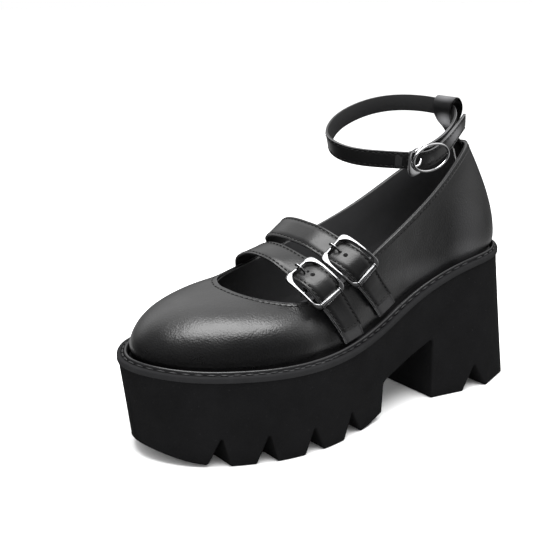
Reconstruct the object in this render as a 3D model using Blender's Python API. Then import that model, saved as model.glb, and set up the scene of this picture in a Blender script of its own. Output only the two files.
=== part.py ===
"""Left platform shoe with two buckled instep straps and a buckled ankle strap.

Tables and named sizes are in millimetres; body() turns them into metres.
The toe points to -Y, the heel to +Y, the outer (lateral) side to +X, and the treads stand on Z = 0.
"""

import math

import bmesh
import bpy
import numpy as np
from mathutils import Vector

MM = 0.001
GAP = 0.3  # clearance between two pieces that touch
PLAN_CENTRE = (2.52, 0.42)  # middle of the shoe's box in the tables' own x and y

# Sole ---------------------------------------------------------------------------------------

# Outline of the sole seen from above, toe to heel: y, outer side x, inner side x.
OUTLINE = [
    ("toe cap", -119.5, 19.5, -23.5),
    ("toe side", -107.0, 32.2, -36.0),
    ("small toe", -89.0, 42.0, -44.0),
    ("ball", -64.0, 50.3, -47.0),
    ("ball joint", -38.0, 51.8, -43.0),
    ("instep", 0.0, 43.5, -33.5),
    ("waist", 38.0, 35.6, -31.6),
    ("heel seat", 76.5, 36.2, -33.0),
    ("heel curve", 102.0, 33.4, -29.6),
    ("heel corner", 120.0, 18.8, -17.6),
]
TOE_TIP = (-3.8, -127.5)
HEEL_TIP = (0.2, 127.5)

# Height of the sole's top along the shoe: flat at the ball, then up the arch to the heel seat.
SOLE_TOP = [
    ("toe", -127.5, 49.5),
    ("small toe", -89.0, 46.9),
    ("ball joint", -38.0, 46.4),
    ("instep", -12.8, 48.0),
    ("arch start", 12.8, 52.8),
    ("arch", 38.2, 62.1),
    ("arch end", 63.8, 71.4),
    ("heel seat", 89.2, 76.8),
    ("heel", 127.5, 78.3),
]

# How far the wall has drawn in at the floor, along the shoe. The heel flares out instead.
WALL_DRAFT = [
    ("toe", -127.5, 6.5),
    ("small toe", -95.0, 4.0),
    ("ball", -50.0, 2.0),
    ("instep", 10.0, 1.0),
    ("breast", 55.0, 0.0),
    ("heel", 127.5, -1.7),
]

# Underside in side view, toe to heel, between the V grooves.
UNDERSIDE_TOE = [(-140.0, 17.0), (-127.0, 10.5), (-118.0, 6.4), (-109.0, 3.0)]
UNDERSIDE_WAIST = [
    (-9.0, 0.0),
    (-2.0, 0.7),
    (9.6, 3.6),
    (10.7, 5.0),
    (10.7, 22.0),
    (13.4, 23.7),
    (25.0, 26.7),
    (52.4, 37.4),
    (53.7, 35.5),
    (53.7, 1.2),
    (54.9, 0.0),
]
# V grooves right across the tread: toe-side foot y, apex y, heel-side foot y, apex height.
GROOVES = {
    "first": (-100.5, -95.0, -90.5, 17.0),
    "second": (-78.0, -72.5, -67.5, 16.5),
    "third": (-51.5, -46.5, -39.5, 15.0),
    "fourth": (-24.0, -18.6, -9.0, 15.0),
    "heel": (76.3, 84.6, 93.0, 15.5),
}
FIRST_BLOCK_LIFT = 1.0  # toe spring left at the first groove
SOLE_STATIONS = 38
RAW_BELOW_FLOOR = 12.0  # the raw block reaches this far under the floor before it is cut
CUTTER_REACH = 80.0  # half the width of the treads' cutter

# Outside of the upper where it meets the sole, in from the sole's outline along the shoe.
FEATHER = [
    ("toe", -127.5, 5.3),
    ("ball", -40.0, 5.3),
    ("waist", 40.0, 5.0),
    ("heel seat", 90.0, 4.2),
    ("heel", 127.5, 3.4),
]

# Welt section: inset from the outline, height above the sole's top. The insets are those at the
# toe, and shrink with the upper's own inset, so that the inner edge lies along its wall.
WELT_SECTION = [
    ("lower edge", -0.8, 0.3),
    ("face", -0.8, 3.4),
    ("shoulder", -0.2, 4.1),
    ("ledge", 1.4, 4.1),
    ("stitch groove in", 1.8, 3.6),
    ("stitch groove out", 2.7, 3.6),
    ("rib foot", 3.1, 4.6),
    ("rib crest", 3.8, 5.2),
    ("rib back", 4.6, 4.7),
    ("inner edge", 5.0, 0.3),
]

# Upper --------------------------------------------------------------------------------------

COLUMNS = 64  # stations round the shoe, for the upper and the welt beside it
WALL = 2.0
INSOLE_THICK = 3.0
INSOLE_STATIONS = 24

# Sections round the last, from the toe by the outer side to the heel and back by the inner side.
# side and y: where the section stands on the feather line. top: the topline point.
# rise: length it climbs before it turns, leaning out by lean degrees.
# reach: length of its last stretch into the topline, at slope degrees above the horizontal.
UPPER = [
    # name, side, y, top x, top y, top z, rise, lean, reach, slope
    ("toe", "toe", 0, -1, -67.0, 81.0, 21, 5, 34, 4),
    ("toe turn", "outer", -107, 12, -64.5, 80.2, 21, 5, 30, 6),
    ("small toe", "outer", -86, 21, -59.5, 79.3, 21, 5, 24, 10),
    ("ball", "outer", -62, 28.5, -51.5, 78.2, 20, 5, 18, 22),
    ("throat end", "outer", -38, 34, -41.0, 78.6, 18, 4, 12, 46),
    ("under straps", "outer", -14, 36, -20.0, 83.5, 17, 4, 12, 62),
    ("waist", "outer", 10, 34, 5.0, 95.0, 17, 4, 13, 72),
    ("quarter", "outer", 38, 31, 33.0, 109.0, 18, 4, 16, 77),
    ("ankle", "outer", 68, 27.5, 60.0, 124.6, 20, 6, 18, 78),
    ("heel side", "outer", 96, 19.5, 83.5, 137.0, 20, 11, 22, 74),
    ("heel turn", "outer", 114, 10, 100.0, 142.4, 20, 15, 25, 66),
    ("heel", "heel", 0, 0, 106.5, 143.8, 20, 16, 26, 62),
    ("inner heel turn", "inner", 114, -10, 100.0, 140.6, 20, 15, 25, 66),
    ("inner heel side", "inner", 96, -18, 85.0, 131.8, 19, 11, 21, 74),
    ("inner ankle", "inner", 68, -24.0, 60.0, 117.2, 18, 6, 17, 78),
    ("inner quarter", "inner", 38, -27, 34.0, 104.6, 17, 4, 15, 78),
    ("inner waist", "inner", 10, -29, 6.0, 94.6, 16, 4, 13, 76),
    ("inner straps", "inner", -14, -29.5, -20.0, 87.0, 16, 4, 13, 66),
    ("inner throat end", "inner", -38, -28.0, -43.0, 82.6, 17, 4, 13, 46),
    ("inner ball", "inner", -62, -22.5, -56.0, 81.8, 20, 5, 18, 22),
    ("big toe", "inner", -86, -16.0, -63.0, 81.6, 21, 5, 24, 9),
    ("inner toe turn", "inner", -107, -9.5, -66.0, 81.2, 21, 5, 30, 5),
]
UPPER_LEVELS = (0.0, 0.09, 0.19, 0.3, 0.42, 0.54, 0.66, 0.78, 0.89, 1.0)

# Instep straps ------------------------------------------------------------------------------

STRAP_WIDTH = 15.4
STRAP_THICK = 1.6
CHAPE_THICK = 1.1
WALL_CLEAR = 0.7  # straps from the upper's wall, whose facets are flatter than their curves
FREE_END_ABOVE_WELT = 9.0
FOOT_ABOVE_WELT = 0.6
# pitch: how far the strap's plane leans back. plane: its middle, along the plane's normal.
# crest: route over the opening, from the inner topline to the buckle (x, height in the plane).
# tilt: fall of the strap's back edge per millimetre of width, at the crest.
# buckle: middle of the frame in the plane (x, height) and its fall towards the outer side.
INSTEP_STRAPS = {
    "front": {
        "pitch": math.radians(25.0),
        "plane": 6.5,
        "crest": [(-28.2, 94.0), (-20.0, 99.8), (-10.0, 103.6), (0.0, 104.6), (11.0, 103.2)],
        "tilt": 0.22,
        "buckle": (34.0, 94.6, math.radians(34.8)),
    },
    "rear": {
        "pitch": math.radians(34.0),
        "plane": 44.3,
        "crest": [(-30.0, 89.0), (-23.5, 93.8), (-11.5, 96.4), (0.0, 96.2), (11.0, 94.8)],
        "tilt": 0.0,
        "buckle": (33.2, 84.6, math.radians(41.0)),
    },
}
BUCKLE_LENGTH = 24.5
BUCKLE_WIDTH = 20.4
RAIL_WIDTH = 2.0
RAIL_THICK = 2.2
RAIL_BEVEL = 0.55
BUCKLE_CORNER = 3.2
BAR_POST = 0.95  # radius of the posts that carry the centre bar
CENTRE_BAR = 0.8  # radius
CENTRE_BAR_DROP = 2.0  # below the frame's own plane
ROLLER = 1.45  # radius
ROLLER_LENGTH = 12.5
PRONG = 0.7  # radius
# Prong's route, along the strap and out of it: from its hole, then over the inner end bar.
PRONG_FROM_HOLE = [(0.4, -2.2), (0.0, -0.6), (-0.2, 1.0), (-1.6, 2.3)]
PRONG_OVER_BAR = [(2.0, 0.3), (0.0, 0.0), (-1.4, -0.5)]
HOLE = 1.3  # radius of the strap's holes
HOLE_BACK = 4.8  # prong's hole, from the centre bar towards the inner side
BAR_AT = (BUCKLE_LENGTH - RAIL_WIDTH) / 2  # the frame's end bars, from its middle
WALL_LEFT_BELOW_TOP = 14.0  # how far under the topline the outer straps leave the wall
STRAP_LINES = (-STRAP_WIDTH / 2, 0.0, STRAP_WIDTH / 2)  # middle lines across a strap
BILLET_SAMPLES = 40
CHAPE_SAMPLES = 28

# Ankle strap --------------------------------------------------------------------------------

ANKLE_WIDTH = 9.5
ANKLE_THICK = 1.8
# Middle line, from the inner end under the buckle, back through the tab's loop, round the ankle
# and over itself to the free end: x, y, z, lean of its face in degrees.
ANKLE_ROUTE = [
    ("inner end", 24.4, 44.0, 142.4, 4),
    ("beside buckle", 23.6, 60.0, 147.0, 4),
    ("before loop", 18.6, 76.0, 153.0, 4),
    ("into loop", 9.4, 88.4, 159.6, 2),
    ("loop", 0.0, 92.4, 163.0, 0),
    ("out of loop", -8.5, 92.0, 164.5, 0),
    ("inner back", -18.0, 87.4, 165.5, 0),
    ("inner side", -26.5, 78.0, 165.8, 0),
    ("inner middle", -31.4, 62.0, 164.5, 0),
    ("inner front", -31.6, 46.0, 161.4, 3),
    ("inner turn", -28.2, 30.5, 156.8, 8),
    ("front corner", -21.6, 19.6, 152.4, 12),
    ("front turn", -12.4, 12.4, 148.6, 12),
    ("front", -1.0, 11.8, 145.6, 9),
    ("outer turn", 9.5, 16.4, 144.0, 6),
    ("outer front", 19.0, 25.0, 143.3, 4),
    ("before buckle", 26.0, 35.5, 142.5, 4),
    ("over inner end", 28.8, 47.0, 142.4, 4),
    ("under buckle", 27.8, 60.0, 146.2, 4),
    ("overlap", 24.0, 73.0, 152.2, 4),
    ("free end", 15.8, 90.0, 158.4, 4),
]
ANKLE_SAMPLES = 56
OVAL_LENGTH = 26.5
OVAL_WIDTH = 16.2
OVAL_WIRE = 1.0  # radius
OVAL_SIDES = 28
PLATE_LENGTH = 24.0
PLATE_WIDTH = 14.0
PLATE_WIRE = 0.9  # radius
PLATE_CORNER = 3.0
# Ankle prong's route from the oval's front end: along the strap, down its width, out of it.
ANKLE_PRONG_ROUTE = [(3.4, 0.8, 0.9), (6.2, 0.8, 1.1), (9.0, 0.8, 0.6), (10.4, 0.8, 0.0)]
ANKLE_BUCKLE_BACK = 48.5  # oval's middle, back along the strap from its free end
OVAL_RAISE = 1.8  # above the strap's middle line
PLATE_RAISE = 1.2
PLATE_BEFORE = 2.3  # how far the plate's middle lies in front of the oval's

# Heel tab: middle line in the shoe's long plane (y, z), its width, and how far its edges bend
# forward of its middle where it lies along the inside of the counter.
HEEL_TAB = [
    ("inside counter", 113.8, 121.0, 10.0, 2.3),
    ("behind topline", 108.9, 132.0, 9.5, 2.3),
    ("topline", 103.3, 142.6, 8.0, 1.6),
    ("above topline", 96.6, 148.6, 7.0, 0.4),
    ("loop foot", 90.9, 153.6, 8.0, 0.0),
    ("loop front", 87.9, 160.0, 12.5, 0.0),
    ("loop front top", 88.3, 166.9, 13.0, 0.0),
    ("loop top", 91.8, 170.6, 13.0, 0.0),
    ("loop back top", 95.6, 167.8, 13.0, 0.0),
    ("loop back", 96.7, 162.4, 12.5, 0.0),
    ("loop back foot", 95.8, 157.4, 10.0, 0.0),
    ("end", 94.3, 154.6, 8.0, 0.0),
]
HEEL_TAB_THICK = 1.3
TAB_SAMPLES = 40


# Curves -------------------------------------------------------------------------------------


def cubic(knots, rows, slopes, at):
    """Piecewise cubic through rows, given the second derivatives (slopes) at the knots."""
    span = np.clip(np.searchsorted(knots, at, side="right") - 1, 0, len(knots) - 2)
    width = (knots[span + 1] - knots[span])[:, None]
    b = (at - knots[span])[:, None] / width
    a = 1.0 - b
    bend = ((a**3 - a) * slopes[span] + (b**3 - b) * slopes[span + 1]) * width**2 / 6.0
    return a * rows[span] + b * rows[span + 1] + bend


def open_spline(knots, rows, at):
    """Natural cubic spline through rows at knots."""
    knots, rows = np.asarray(knots, float), np.asarray(rows, float)
    at = np.clip(np.atleast_1d(at), knots[0], knots[-1])
    n = len(knots)
    h = np.diff(knots)
    system = np.eye(n)
    right = np.zeros_like(rows)
    for i in range(1, n - 1):
        system[i, i - 1 : i + 2] = h[i - 1], 2.0 * (h[i - 1] + h[i]), h[i]
        right[i] = 6.0 * ((rows[i + 1] - rows[i]) / h[i] - (rows[i] - rows[i - 1]) / h[i - 1])
    return cubic(knots, rows, np.linalg.solve(system, right), at)


def closed_spline(knots, rows, at):
    """Cubic spline through rows that closes on itself. knots has one value more than rows."""
    knots, rows = np.asarray(knots, float), np.asarray(rows, float)
    n = len(rows)
    h = np.diff(knots)
    system = np.zeros((n, n))
    right = np.zeros_like(rows)
    for i in range(n):
        before, after = h[i - 1], h[i]
        system[i, (i - 1) % n] += before
        system[i, i] += 2.0 * (before + after)
        system[i, (i + 1) % n] += after
        step = (rows[(i + 1) % n] - rows[i]) / after - (rows[i] - rows[i - 1]) / before
        right[i] = 6.0 * step
    bends = np.linalg.solve(system, right)
    around = knots[0] + np.mod(np.atleast_1d(at) - knots[0], knots[-1] - knots[0])
    return cubic(knots, np.vstack([rows, rows[:1]]), np.vstack([bends, bends[:1]]), around)


def lengths(points):
    """Distance of each point along the line through them."""
    return np.concatenate([[0.0], np.cumsum(np.linalg.norm(np.diff(points, axis=0), axis=1))])


def smooth_line(points, count):
    """count points, evenly spaced, on a smooth curve through the points."""
    points = np.asarray(points, float)
    knots = lengths(points)
    fine = open_spline(knots, points, np.linspace(0.0, knots[-1], 12 * count))
    run = lengths(fine)
    even = np.linspace(0.0, run[-1], count)
    return np.stack([np.interp(even, run, fine[:, k]) for k in range(points.shape[1])], axis=1)


def unit(vectors):
    return vectors / np.linalg.norm(vectors, axis=-1, keepdims=True)


# The sole's outline and top -----------------------------------------------------------------

FINE = 1440
TIP_MARGIN = 0.065  # the first and last stations stop this short of the toe and heel tips


def fine_outline():
    """The outline as FINE even points, from the toe by the outer side round to the toe again."""
    outer = [(x, y) for _, y, x, _ in OUTLINE]
    inner = [(x, y) for _, y, _, x in OUTLINE]
    points = np.array([TOE_TIP, *outer, HEEL_TIP, *inner[::-1]], float)
    knots = lengths(np.vstack([points, points[:1]]))
    dense = closed_spline(knots, points, np.linspace(0.0, knots[-1], 4 * FINE, endpoint=False))
    run = lengths(np.vstack([dense, dense[:1]]))
    even = np.linspace(0.0, run[-1], FINE, endpoint=False)
    closed = np.vstack([dense, dense[:1]])
    return np.stack([np.interp(even, run, closed[:, k]) for k in (0, 1)], axis=1)


PLAN = fine_outline()
PLAN_TANGENT = unit(np.roll(PLAN, -1, axis=0) - np.roll(PLAN, 1, axis=0))
PLAN_INWARD = np.stack([-PLAN_TANGENT[:, 1], PLAN_TANGENT[:, 0]], axis=1)
TOE_INDEX = int(np.argmin(PLAN[:, 1]))
HEEL_INDEX = int(np.argmax(PLAN[:, 1]))


def around(share, table):
    """A value of a fine closed table at a share (0 to 1) of the way round from the toe."""
    place = np.mod(np.asarray(share, float), 1.0) * FINE
    low = np.floor(place).astype(int)
    part = (place - low)[..., None]
    return table[low % FINE] * (1.0 - part) + table[(low + 1) % FINE] * part


def inset(share, distance):
    """Plan points at a share of the way round, moved in from the sole's outline."""
    return around(share, PLAN) + around(share, PLAN_INWARD) * np.asarray(distance)[..., None]


def share_at(side, y):
    """Share of the way round at which the outline passes y on one side."""
    if side == "toe":
        return 0.0
    if side == "heel":
        return HEEL_INDEX / FINE
    if side == "outer":
        indices = np.arange(TOE_INDEX, HEEL_INDEX + 1)
    else:
        indices = np.arange(HEEL_INDEX, FINE)
    nearest = np.argmin(np.abs(PLAN[indices % FINE, 1] - y))
    return float(indices[nearest] % FINE) / FINE


def profile(rows, y):
    """Smooth value along the shoe from a table of name, y, value."""
    knots = [row[1] for row in rows]
    values = [[row[2]] for row in rows]
    y = np.asarray(y, float)
    return open_spline(knots, values, y.ravel())[:, 0].reshape(y.shape)


def sole_top(y):
    return profile(SOLE_TOP, y)


def feather_inset(shares):
    return profile(FEATHER, around(shares, PLAN)[:, 1])


# Mesh makers --------------------------------------------------------------------------------


def material(name, colour, roughness, metallic=0.0):
    made = bpy.data.materials.new(name)
    made.use_nodes = True
    shader = made.node_tree.nodes["Principled BSDF"]
    shader.inputs["Base Color"].default_value = (*colour, 1.0)
    shader.inputs["Roughness"].default_value = roughness
    shader.inputs["Metallic"].default_value = metallic
    return made


def body(name, points, faces, finish):
    """A closed mesh object from points in the tables' millimetres, faces pointing out."""
    mesh = bpy.data.meshes.new(name)
    shell = bmesh.new()
    shift = Vector((*PLAN_CENTRE, 0.0))
    corners = [shell.verts.new((Vector(point) - shift) * MM) for point in points]
    for face in faces:
        shell.faces.new([corners[index] for index in face])
    bmesh.ops.recalc_face_normals(shell, faces=shell.faces)
    shell.to_mesh(mesh)
    shell.free()
    mesh.shade_smooth()
    mesh.set_sharp_from_angle(angle=math.radians(35.0))
    made = bpy.data.objects.new(name, mesh)
    bpy.context.scene.collection.objects.link(made)
    mesh.materials.append(finish)
    return made


def grid_faces(rows, columns, start, close_rows=False, close_columns=False):
    """Quads of a grid of points numbered row by row from start."""
    faces = []
    for i in range(rows if close_rows else rows - 1):
        for j in range(columns if close_columns else columns - 1):
            a = start + i * columns + j
            b = start + i * columns + (j + 1) % columns
            c = start + ((i + 1) % rows) * columns + (j + 1) % columns
            d = start + ((i + 1) % rows) * columns + j
            faces.append((a, b, c, d))
    return faces


def slab(name, upper, lower, finish, close_rows=False):
    """A body between two grids of points, walled along every free edge."""
    rows, columns, _ = upper.shape
    size = rows * columns
    points = np.vstack([upper.reshape(-1, 3), lower.reshape(-1, 3)])
    faces = grid_faces(rows, columns, 0, close_rows)
    faces += [face[::-1] for face in grid_faces(rows, columns, size, close_rows)]
    for i in range(rows if close_rows else rows - 1):
        after = (i + 1) % rows
        for j in (0, columns - 1):
            a, b = i * columns + j, after * columns + j
            faces.append((a, b, b + size, a + size))
    if not close_rows:
        for i in (0, rows - 1):
            for j in range(columns - 1):
                a, b = i * columns + j, i * columns + j + 1
                faces.append((a, b, b + size, a + size))
    return body(name, points, faces, finish)


def hoop(name, sections, finish):
    """A ring-shaped body from closed sections that follow each other round."""
    count, corners, _ = sections.shape
    faces = grid_faces(count, corners, 0, close_rows=True, close_columns=True)
    return body(name, sections.reshape(-1, 3), faces, finish)


def tube_sections(line, radius, sides, closed, up=(0.0, 0.0, 1.0)):
    """Round sections along a line, each square to it."""
    if closed:
        along = unit(np.roll(line, -1, axis=0) - np.roll(line, 1, axis=0))
    else:
        along = unit(np.gradient(line, axis=0))
    across = unit(np.cross(along, np.asarray(up, float)))
    over = np.cross(across, along)
    turn = 2.0 * math.pi * (np.arange(sides) + 0.5) / sides
    ring = np.cos(turn)[None, :, None] * across[:, None] + np.sin(turn)[None, :, None] * over[:, None]
    return line[:, None] + ring * np.broadcast_to(radius, (len(line),))[:, None, None]


def rod(name, line, radius, sides, finish, up=(0.0, 0.0, 1.0)):
    """A round bar along an open line, with flat ends."""
    sections = tube_sections(np.asarray(line, float), radius, sides, False, up)
    count = len(sections)
    faces = grid_faces(count, sides, 0, close_columns=True)
    faces += [tuple(range(sides))[::-1], tuple(range((count - 1) * sides, count * sides))]
    return body(name, sections.reshape(-1, 3), faces, finish)


def boolean(target, operand, operation):
    """Cuts target by operand, or joins operand to it, and puts the operand out of the build."""
    modifier = target.modifiers.new(operand.name, "BOOLEAN")
    modifier.operation = operation
    modifier.solver = "EXACT"
    modifier.object = operand
    operand.hide_render = True
    operand.display_type = "WIRE"


# Sole, welt and insole ----------------------------------------------------------------------


def paired_shares(stations):
    """Shares of the way round, outer and inner, at the same run of places along the shoe."""
    turn = np.linspace(0.0, math.pi, stations)
    middle = 0.5 * (PLAN[TOE_INDEX, 1] + PLAN[HEEL_INDEX, 1])
    half = 0.5 * (PLAN[HEEL_INDEX, 1] - PLAN[TOE_INDEX, 1]) - TIP_MARGIN
    places = middle - half * np.cos(turn)
    outer = [share_at("outer", y) for y in places]
    inner = [share_at("inner", y) for y in places]
    return np.array(outer), np.array(inner)


def plan_slab(name, stations, top_inset, foot_inset, top_height, foot_height, finish):
    """A body with the sole's outline: ladders of quads above and below, and a wall round."""
    outer, inner = paired_shares(stations)
    grids = []
    for distance, height in ((top_inset, top_height), (foot_inset, foot_height)):
        sides = []
        for shares in (outer, inner):
            y = around(shares, PLAN)[:, 1]
            plan = inset(shares, distance(y))
            sides.append(np.column_stack([plan, height(plan[:, 1])]))
        grids.append(np.stack(sides, axis=1))
    return slab(name, grids[0], grids[1], finish)


def make_outsole(finish):
    """A block with the sole's outline, whose underside is cut to the treads in one pass."""

    def foot_inset(y):
        return profile(WALL_DRAFT, y) * (1.0 + RAW_BELOW_FLOOR / sole_top(y))

    block = plan_slab(
        "outsole",
        SOLE_STATIONS,
        lambda y: np.zeros_like(y),
        foot_inset,
        sole_top,
        lambda y: np.full_like(y, -RAW_BELOW_FLOOR),
        finish,
    )
    line = list(UNDERSIDE_TOE)
    for name in ("first", "second", "third", "fourth"):
        toe_foot, apex, heel_foot, height = GROOVES[name]
        lift = FIRST_BLOCK_LIFT if name == "first" else 0.0
        line += [(toe_foot, lift), (apex, height), (heel_foot, 0.0)]
    line = line[:-1] + UNDERSIDE_WAIST
    toe_foot, apex, heel_foot, height = GROOVES["heel"]
    front, back = line[0][0], -line[0][0]
    line += [(toe_foot, 0.0), (apex, height), (heel_foot, 0.0), (back, 0.0)]
    edge = line + [(back, -2.0 * RAW_BELOW_FLOOR), (front, -2.0 * RAW_BELOW_FLOOR)]
    count = len(edge)
    points = [(side * CUTTER_REACH, y, z) for side in (-1, 1) for y, z in edge]
    faces = [tuple(range(count)), tuple(range(count, 2 * count))[::-1]]
    faces += [(i, (i + 1) % count, (i + 1) % count + count, i + count) for i in range(count)]
    ground = body("tread_cutter", points, faces, finish)
    boolean(block, ground, "DIFFERENCE")
    return block


def make_insole(finish):
    """A sheet on the outsole, inside the upper's wall."""

    def edge(y):
        return profile(FEATHER, y) + WALL + 2 * GAP

    return plan_slab(
        "insole",
        INSOLE_STATIONS,
        edge,
        edge,
        lambda y: sole_top(y) + GAP + INSOLE_THICK,
        lambda y: sole_top(y) + GAP,
        finish,
    )


# Upper --------------------------------------------------------------------------------------


def upper_columns(shares):
    """The four Bezier points of the upper's outside at each share of the way round."""
    knots = [share_at(row[1], row[2]) for row in UPPER] + [1.0]
    values = closed_spline(knots, [row[3:] for row in UPPER], shares)
    plan = inset(shares, feather_inset(shares))
    foot = np.column_stack([plan, sole_top(plan[:, 1]) + GAP])
    top = values[:, :3]
    rise, reach = values[:, 3:4], values[:, 5:6]
    lean, slope = np.radians(values[:, 4:5]), np.radians(values[:, 6:7])
    up = np.array([[0.0, 0.0, 1.0]])
    flat = np.zeros((len(shares), 1))
    outward = np.hstack([-around(shares, PLAN_INWARD), flat])
    across = unit(np.hstack([top[:, :2] - foot[:, :2], flat]))
    low = foot + rise * (np.cos(lean) * up + np.sin(lean) * outward)
    high = top - reach * (np.cos(slope) * across + np.sin(slope) * up)
    return np.stack([foot, low, high, top])


def upper_surface(shares, levels):
    """Points of the upper's outside: shares round the shoe by levels from sole to topline."""
    foot, low, high, top = upper_columns(shares)[:, :, None, :]
    v = np.asarray(levels)[None, :, None]
    w = 1.0 - v
    return w**3 * foot + 3 * w**2 * v * low + 3 * w * v**2 * high + v**3 * top


def surface_normals(grid):
    """Outward normals of a grid that is closed round its first axis."""
    round_step = np.roll(grid, -1, axis=0) - np.roll(grid, 1, axis=0)
    up_step = np.gradient(grid, axis=1)
    return unit(np.cross(round_step, up_step))


def make_upper(finish):
    """One hollow wall, open at the throat and collar above and at the sole below."""
    shares = np.arange(COLUMNS) / COLUMNS
    outside = upper_surface(shares, UPPER_LEVELS)
    inside = outside - surface_normals(outside) * WALL
    inside[:, 0, 2] = sole_top(inside[:, 0, 1]) + GAP
    return slab("upper", outside, inside, finish, close_rows=True)


def wall_inset(shares, height):
    """How far in from the outline the upper's outside stands, at a height above the sole's top."""
    grid = upper_surface(shares, np.linspace(0.0, 0.4, 17))
    found = []
    for share, column in zip(shares, grid):
        above = column[:, 2] - sole_top(column[:1, 1])
        place = np.array([np.interp(height, above, column[:, k]) for k in (0, 1)])
        found.append((place - around(share, PLAN)) @ around(share, PLAN_INWARD))
    return np.array(found)


def make_welt(finish):
    """A moulded strip round the upper's foot, with a stitch groove and a rib."""
    shares = np.arange(COLUMNS) / COLUMNS
    corners = []
    for _, distance, height in WELT_SECTION:
        room = (wall_inset(shares, height) - GAP) / (FEATHER[0][2] - GAP)
        plan = inset(shares, distance * (room if distance > 0.0 else np.ones(COLUMNS)))
        corners.append(np.column_stack([plan, sole_top(plan[:, 1]) + height]))
    return hoop("welt", np.stack(corners, axis=1), finish)


# Instep straps ------------------------------------------------------------------------------


def in_plane(strap, x, height, offset):
    """World point of a place in a strap's plane: height up the plane, offset along its normal."""
    sin, cos = math.sin(strap["pitch"]), math.cos(strap["pitch"])
    x, height, offset = np.broadcast_arrays(x, height, strap["plane"] + offset)
    return np.stack([x, offset * cos - height * sin, offset * sin + height * cos], axis=-1)


def wall_line(strap, offset, side, clearance):
    """Where a line of the strap meets the upper's wall, foot to topline, moved out by clearance."""
    first, last = (-62.0, 40.0) if side == "outer" else (40.0, -62.0)
    shares = np.linspace(share_at(side, first), share_at(side, last), 180)
    grid = upper_surface(shares, np.linspace(0.0, 1.0, 41))
    sin, cos = math.sin(strap["pitch"]), math.cos(strap["pitch"])
    miss = grid[..., 1] * cos + grid[..., 2] * sin - strap["plane"] - offset
    line = []
    for level in range(grid.shape[1]):
        crossing = np.nonzero(np.diff(np.sign(miss[:, level])))[0]
        if len(crossing) == 0:
            continue
        i = crossing[0]
        part = miss[i, level] / (miss[i, level] - miss[i + 1, level])
        x, y, z = grid[i, level] * (1.0 - part) + grid[i + 1, level] * part
        line.append((x, -y * sin + z * cos))
    line = np.array(line)
    along = unit(np.gradient(line, axis=0))
    out = np.stack([along[:, 1], -along[:, 0]], axis=1)
    if side == "inner":
        out = -out
    return line + out * clearance


def clip_height(line, low, high, count):
    """count points of a plane line between two heights."""
    heights = np.linspace(low, high, count)
    return np.column_stack([np.interp(heights, line[:, 1], line[:, 0]), heights])


def welt_height(strap, wall):
    """Height, in a strap's plane, of the welt's rib beside the foot of the upper's wall."""
    rib = max(height for _, _, height in WELT_SECTION) - GAP
    return wall[0, 1] + rib / math.cos(strap["pitch"])


def buckle_place(strap):
    """Middle of a frame in its plane, and its directions along the strap and out of it."""
    x, height, fall = strap["buckle"]
    along = np.array([math.cos(fall), -math.sin(fall)])
    out = np.array([math.sin(fall), math.cos(fall)])
    return np.array([x, height]), along, out


def outward(line):
    """Directions out of the shoe, square to a plane line that runs from the inner side out."""
    along = unit(np.gradient(line, axis=0))
    return np.stack([-along[:, 1], along[:, 0]], axis=1)


def strap_body(name, strap, lines, thick, finish):
    """A strap between two sheets half a thickness either side of its middle lines."""
    sheets = []
    for sign in (1.0, -1.0):
        sheet = []
        for line, offset in zip(lines, STRAP_LINES):
            moved = line + outward(line) * sign * 0.5 * thick
            sheet.append(in_plane(strap, moved[:, 0], moved[:, 1], offset))
        sheets.append(np.stack(sheet, axis=1))
    return slab(name, sheets[0], sheets[1], finish)


def billet_line(strap, offset):
    """Middle line of the long strap: inner wall, over the foot, buckle, outer wall, free end."""
    middle, along, out = buckle_place(strap)
    half_thick = 0.5 * STRAP_THICK
    inner = wall_line(strap, offset, "inner", WALL_CLEAR + half_thick)
    outer_clear = WALL_CLEAR + CHAPE_THICK + GAP + half_thick
    outer = wall_line(strap, offset, "outer", outer_clear)
    inner_foot = welt_height(strap, inner) + FOOT_ABOVE_WELT
    free_end = welt_height(strap, outer) + FREE_END_ABOVE_WELT
    crest = np.array(strap["crest"]) - np.array([0.0, strap["tilt"] * offset])
    under_bar = RAIL_THICK / 2 + 2 * GAP + half_thick
    over_bar = CENTRE_BAR + 3 * GAP + CHAPE_THICK + half_thick - CENTRE_BAR_DROP
    under_roller = ROLLER + 2.5 * GAP + half_thick
    through = [
        middle - along * BAR_AT - out * under_bar,
        middle + out * over_bar,
        middle + along * BAR_AT - out * under_roller,
    ]
    climb = clip_height(inner, inner_foot, inner[-1, 1] - 3.0, 5)
    fall = clip_height(outer, free_end, outer[-1, 1] - WALL_LEFT_BELOW_TOP, 3)[::-1]
    return smooth_line(np.vstack([climb, crest, through, fall]), BILLET_SAMPLES)


def make_billet(key, strap, finish):
    lines = [billet_line(strap, offset) for offset in STRAP_LINES]
    billet = strap_body(f"instep_strap_{key}", strap, lines, STRAP_THICK, finish)
    middle, along, out = buckle_place(strap)
    hole = middle - along * HOLE_BACK
    ends = [in_plane(strap, *(hole + out * step), 0.0) for step in (-6.0, 6.0)]
    boolean(billet, rod(f"hole_cutter_{key}", ends, HOLE, 8, finish), "DIFFERENCE")
    return billet


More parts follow.
